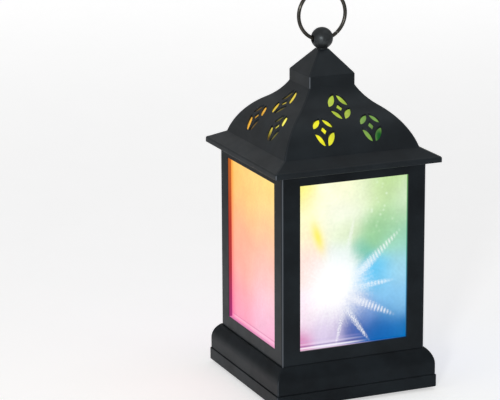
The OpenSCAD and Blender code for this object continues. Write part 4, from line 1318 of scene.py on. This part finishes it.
class LANTERN_OT_door(bpy.types.Operator):
    """Models the battery door with its hinge, its latch tongue and its grip lines"""

    bl_idname = "lantern.door"
    bl_label = "Battery door"
    bl_options = {"REGISTER", "UNDO"}

    def execute(self, context):
        low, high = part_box("battery_door")
        pin, height = 40.9 * MM, 3.6 * MM
        half, front = 28.45 * MM, low.y + 0.2 * MM
        bottom, top = 2 * MM, 4 * MM
        tongue = 6 * MM
        door = add_box("battery_door_panel", (-half, front, bottom), (half, pin, top))
        bevel(
            door, 0.25 * MM, 2,
            lambda e: middle(e).z < bottom + NEAR and middle(e).y < pin - NEAR,
        )
        for name, radius, left, right, y, z, sides in (
            ("barrel", 1.6 * MM, -half, half, pin, height, 48),
            ("pivot", MM, low.x, high.x, pin, height, 48),
            ("latch", 0.2 * MM, -tongue, tongue, front, (bottom + top) / 2, 16),
        ):
            combine(door, add_rod(name, radius, (left, y, z), (right, y, z), "X", sides), "UNION")
        cuts = []
        for x in (-tongue, tongue):
            slot = 0.4 * MM
            cuts.append(add_box(
                "slot", (x - slot, front - MM, bottom - MM), (x + slot, front + 7 * MM, top + MM)
            ))
        for k in range(5):
            y = front + (9.0 + 1.6 * k) * MM
            cuts.append(add_box(
                "grip", (-tongue, y, bottom - MM), (tongue, y + 0.7 * MM, bottom + 0.35 * MM)
            ))
        combine(door, merge("cuts", *cuts))
        fit_black(door, "battery_door", "door")
        return {"FINISHED"}


class LANTERN_OT_inside(bpy.types.Operator):
    """Gives the CAD pieces that stay their finishes"""

    bl_idname = "lantern.inside"
    bl_label = "Inner pieces"
    bl_options = {"REGISTER", "UNDO"}

    def execute(self, context):
        plans = {
            "screw_steel": (plated_steel, srgb(196, 196, 192), 0.32),
            "battery_jacket": (plated_steel, srgb(186, 158, 74), 0.3, (10, 1, 1)),
            "contact_steel": (plated_steel, srgb(214, 214, 210), 0.2),
            "switch_steel": (plated_steel, srgb(198, 200, 202), 0.35),
            "lead_red": (gloss_plastic, srgb(170, 26, 20), 0.35),
            "lead_black": (gloss_plastic, srgb(26, 26, 27), 0.35),
            "lead_white": (gloss_plastic, srgb(222, 222, 216), 0.35),
            "board_green": (gloss_plastic, srgb(28, 96, 52), 0.28),
            "board_white": (gloss_plastic, srgb(232, 232, 226), 0.3),
            "chip_resin": (gloss_plastic, srgb(20, 20, 20), 0.15),
            "component_dark": (mould, 0.0, 0.26, srgb(36, 38, 42), srgb(50, 52, 58)),
            "capacitor_sleeve": (gloss_plastic, srgb(38, 62, 128), 0.3),
            "knob_plastic": (mould, 0.0, 0.26, srgb(204, 204, 200), srgb(222, 222, 218)),
            "lamp_white": (mould, 0.0, 0.26, srgb(226, 226, 222), srgb(236, 236, 232)),
            "led_red": (tinted_epoxy, srgb(235, 60, 50)),
            "led_yellow": (tinted_epoxy, srgb(245, 205, 60)),
            "led_green": (tinted_epoxy, srgb(70, 220, 100)),
            "led_blue": (tinted_epoxy, srgb(60, 120, 245)),
            "lens_clear": (gloss_plastic, srgb(232, 238, 240), 0.1),
        }
        for part in frame["record"]["subparts"]:
            slot = part["material_slot"]
            if slot in plans:
                self.dress(part["node"], kept(slot, *plans[slot]))
        for side, turn in SIDES:
            self.dress("roof_film_" + side, lit_film(side, turn))
        return {"FINISHED"}

    def dress(self, node, material):
        obj = frame["nodes"][node]
        if not obj.data.materials:
            obj.data.materials.append(material)
        for slot in obj.material_slots:
            slot.material = material


class LANTERN_OT_stage(bpy.types.Operator):
    """Sets the floor, the soft lamps, the world and the camera"""

    bl_idname = "lantern.stage"
    bl_label = "Stage"
    bl_options = {"REGISTER", "UNDO"}

    def execute(self, context):
        settings, scene = context.scene.lantern_stage, context.scene
        scene.view_settings.view_transform = "Standard"

        # a floor with walls on all sides and a wide bend between them, turned to the camera
        width, wall, bend, turn = 6.4, 1.3, 0.8, -22.998
        floor = add("plane", "studio_floor", size=width, location=(0, 0, 0))
        with editing(floor):
            pick(floor, "EDGE")
            bpy.ops.mesh.extrude_edges_indiv()
            bpy.ops.transform.translate(value=(0, 0, wall))
            turn_faces(inside=True)
        bevel(floor, bend, 12, lambda e: middle(e).z < wall - NEAR)
        turn_mesh(floor, turn, "Z")
        select_only(floor)
        bpy.ops.object.shade_smooth()
        floor.data.materials.append(self.paper(settings))

        world = bpy.data.worlds.new("studio")
        world.use_nodes = True
        background = world.node_tree.nodes["Background"]
        background.inputs["Color"].default_value = (1, 1, 1, 1)
        background.inputs["Strength"].default_value = settings.world
        scene.world = world

        for name, watts, size, place, height in (
            ("key_lamp", settings.key, (0.13, 0.13), (-0.80, -1.20, 0.42), 0.18),
            ("side_lamp", settings.side, (0.5, 1.2), (-1.35, -0.35, 0.45), 0.15),
            ("top_lamp", settings.top, (0.7, 0.7), (0.55, -0.25, 1.40), 0.15),
        ):
            bpy.ops.object.light_add(type="AREA", location=place)
            lamp = bpy.context.object
            lamp.name = lamp.data.name = name
            lamp.data.shape = "RECTANGLE"
            lamp.data.size, lamp.data.size_y = size
            lamp.data.energy = watts
            aim = Vector((0, 0, height)) - Vector(place)
            lamp.rotation_euler = aim.to_track_quat("-Z", "Y").to_euler()

        # the camera's place and its right and up, as fitted to the photograph
        eye = Vector((-0.63533, -1.37827, 0.52157))
        right = Vector((0.919950, -0.392000, -0.005365))
        up = Vector((0.105163, 0.233568, 0.966637))
        bpy.ops.object.camera_add()
        camera = bpy.context.object
        camera.name = camera.data.name = "photo_camera"
        turn = Matrix((right, up, right.cross(up))).transposed().to_4x4()
        camera.matrix_world = Matrix.Translation(eye) @ turn
        camera.data.sensor_width = 36.0
        camera.data.lens = settings.lens
        camera.data.clip_end = 20.0
        scene.camera = camera
        return {"FINISHED"}

    def paper(self, settings):
        """Pale paper of the floor and the backdrop, lifted towards white where it is seen."""
        f = Finish("studio_floor")
        colour = tuple(settings.floor)
        away = f.vector("LENGTH", f.vector("MULTIPLY", f.place, (1, 1, 0)))
        lift = f.remap(away, 0.2, 2.4, settings.floor_lift, settings.backdrop_lift)
        # what the lantern mirrors is lifted behind it, where the photograph shows it against
        # the backdrop, and its sides mirror a darker room
        aside = f.vector("DOT_PRODUCT", f.place, (0.92, -0.392, 0))
        deep = f.vector("DOT_PRODUCT", f.place, (0.392, 0.92, 0))
        wide = f.math("DIVIDE", f.math("ABSOLUTE", aside), f.math("ADD", deep, 1.55))
        strip = f.both(f.remap(wide, 0.115, 0.19, 1.0, 0.0), f.remap(deep, -1.10, -0.12))
        path = f.node("ShaderNodeLightPath").outputs
        mirrored = f.math("MAXIMUM", path["Is Glossy Ray"], path["Is Transmission Ray"])
        seen = f.math("MAXIMUM", path["Is Camera Ray"], f.both(mirrored, strip))
        f.set(
            Base_Color=f.mottle(f.remap(f.noise(18, detail=3), 0.3, 0.7), 0.985, colour),
            Roughness=0.8,
            Specular_IOR_Level=0.1,
            Emission_Color=colour,
            Emission_Strength=f.both(seen, lift),
        )
        return f.material


OPERATORS = (
    LANTERN_OT_body,
    LANTERN_OT_rails,
    LANTERN_OT_panes,
    LANTERN_OT_roof,
    LANTERN_OT_finial,
    LANTERN_OT_ring,
    LANTERN_OT_plinth,
    LANTERN_OT_tray,
    LANTERN_OT_feet,
    LANTERN_OT_door,
    LANTERN_OT_inside,
    LANTERN_OT_stage,
)
GROUPS = {
    "lantern_sizes": LanternSizes,
    "lantern_finishes": LanternFinishes,
    "lantern_stage": LanternStage,
}


class LANTERN_PT_panel(bpy.types.Panel):
    """The lantern's pieces, sizes and colours"""

    bl_idname = "LANTERN_PT_panel"
    bl_label = "Square LED Lantern"
    bl_space_type = "VIEW_3D"
    bl_region_type = "UI"
    bl_category = "Lantern"

    def draw(self, context):
        column = self.layout.column(align=True)
        for operator in OPERATORS:
            column.operator(operator.bl_idname)
        for name, group in GROUPS.items():
            column.separator()
            for key in group.__annotations__:
                column.prop(getattr(context.scene, name), key)


CLASSES = (*GROUPS.values(), *OPERATORS, LANTERN_PT_panel)


def register():
    for cls in CLASSES:
        bpy.utils.register_class(cls)
    for name, group in GROUPS.items():
        setattr(bpy.types.Scene, name, bpy.props.PointerProperty(type=group))


def unregister():
    for name in GROUPS:
        delattr(bpy.types.Scene, name)
    for cls in reversed(CLASSES):
        bpy.utils.unregister_class(cls)


def main():
    """Makes every piece in order."""
    register()
    for operator in OPERATORS:
        group, name = operator.bl_idname.split(".")
        getattr(getattr(bpy.ops, group), name)()


if __name__ == "__main__":
    main()
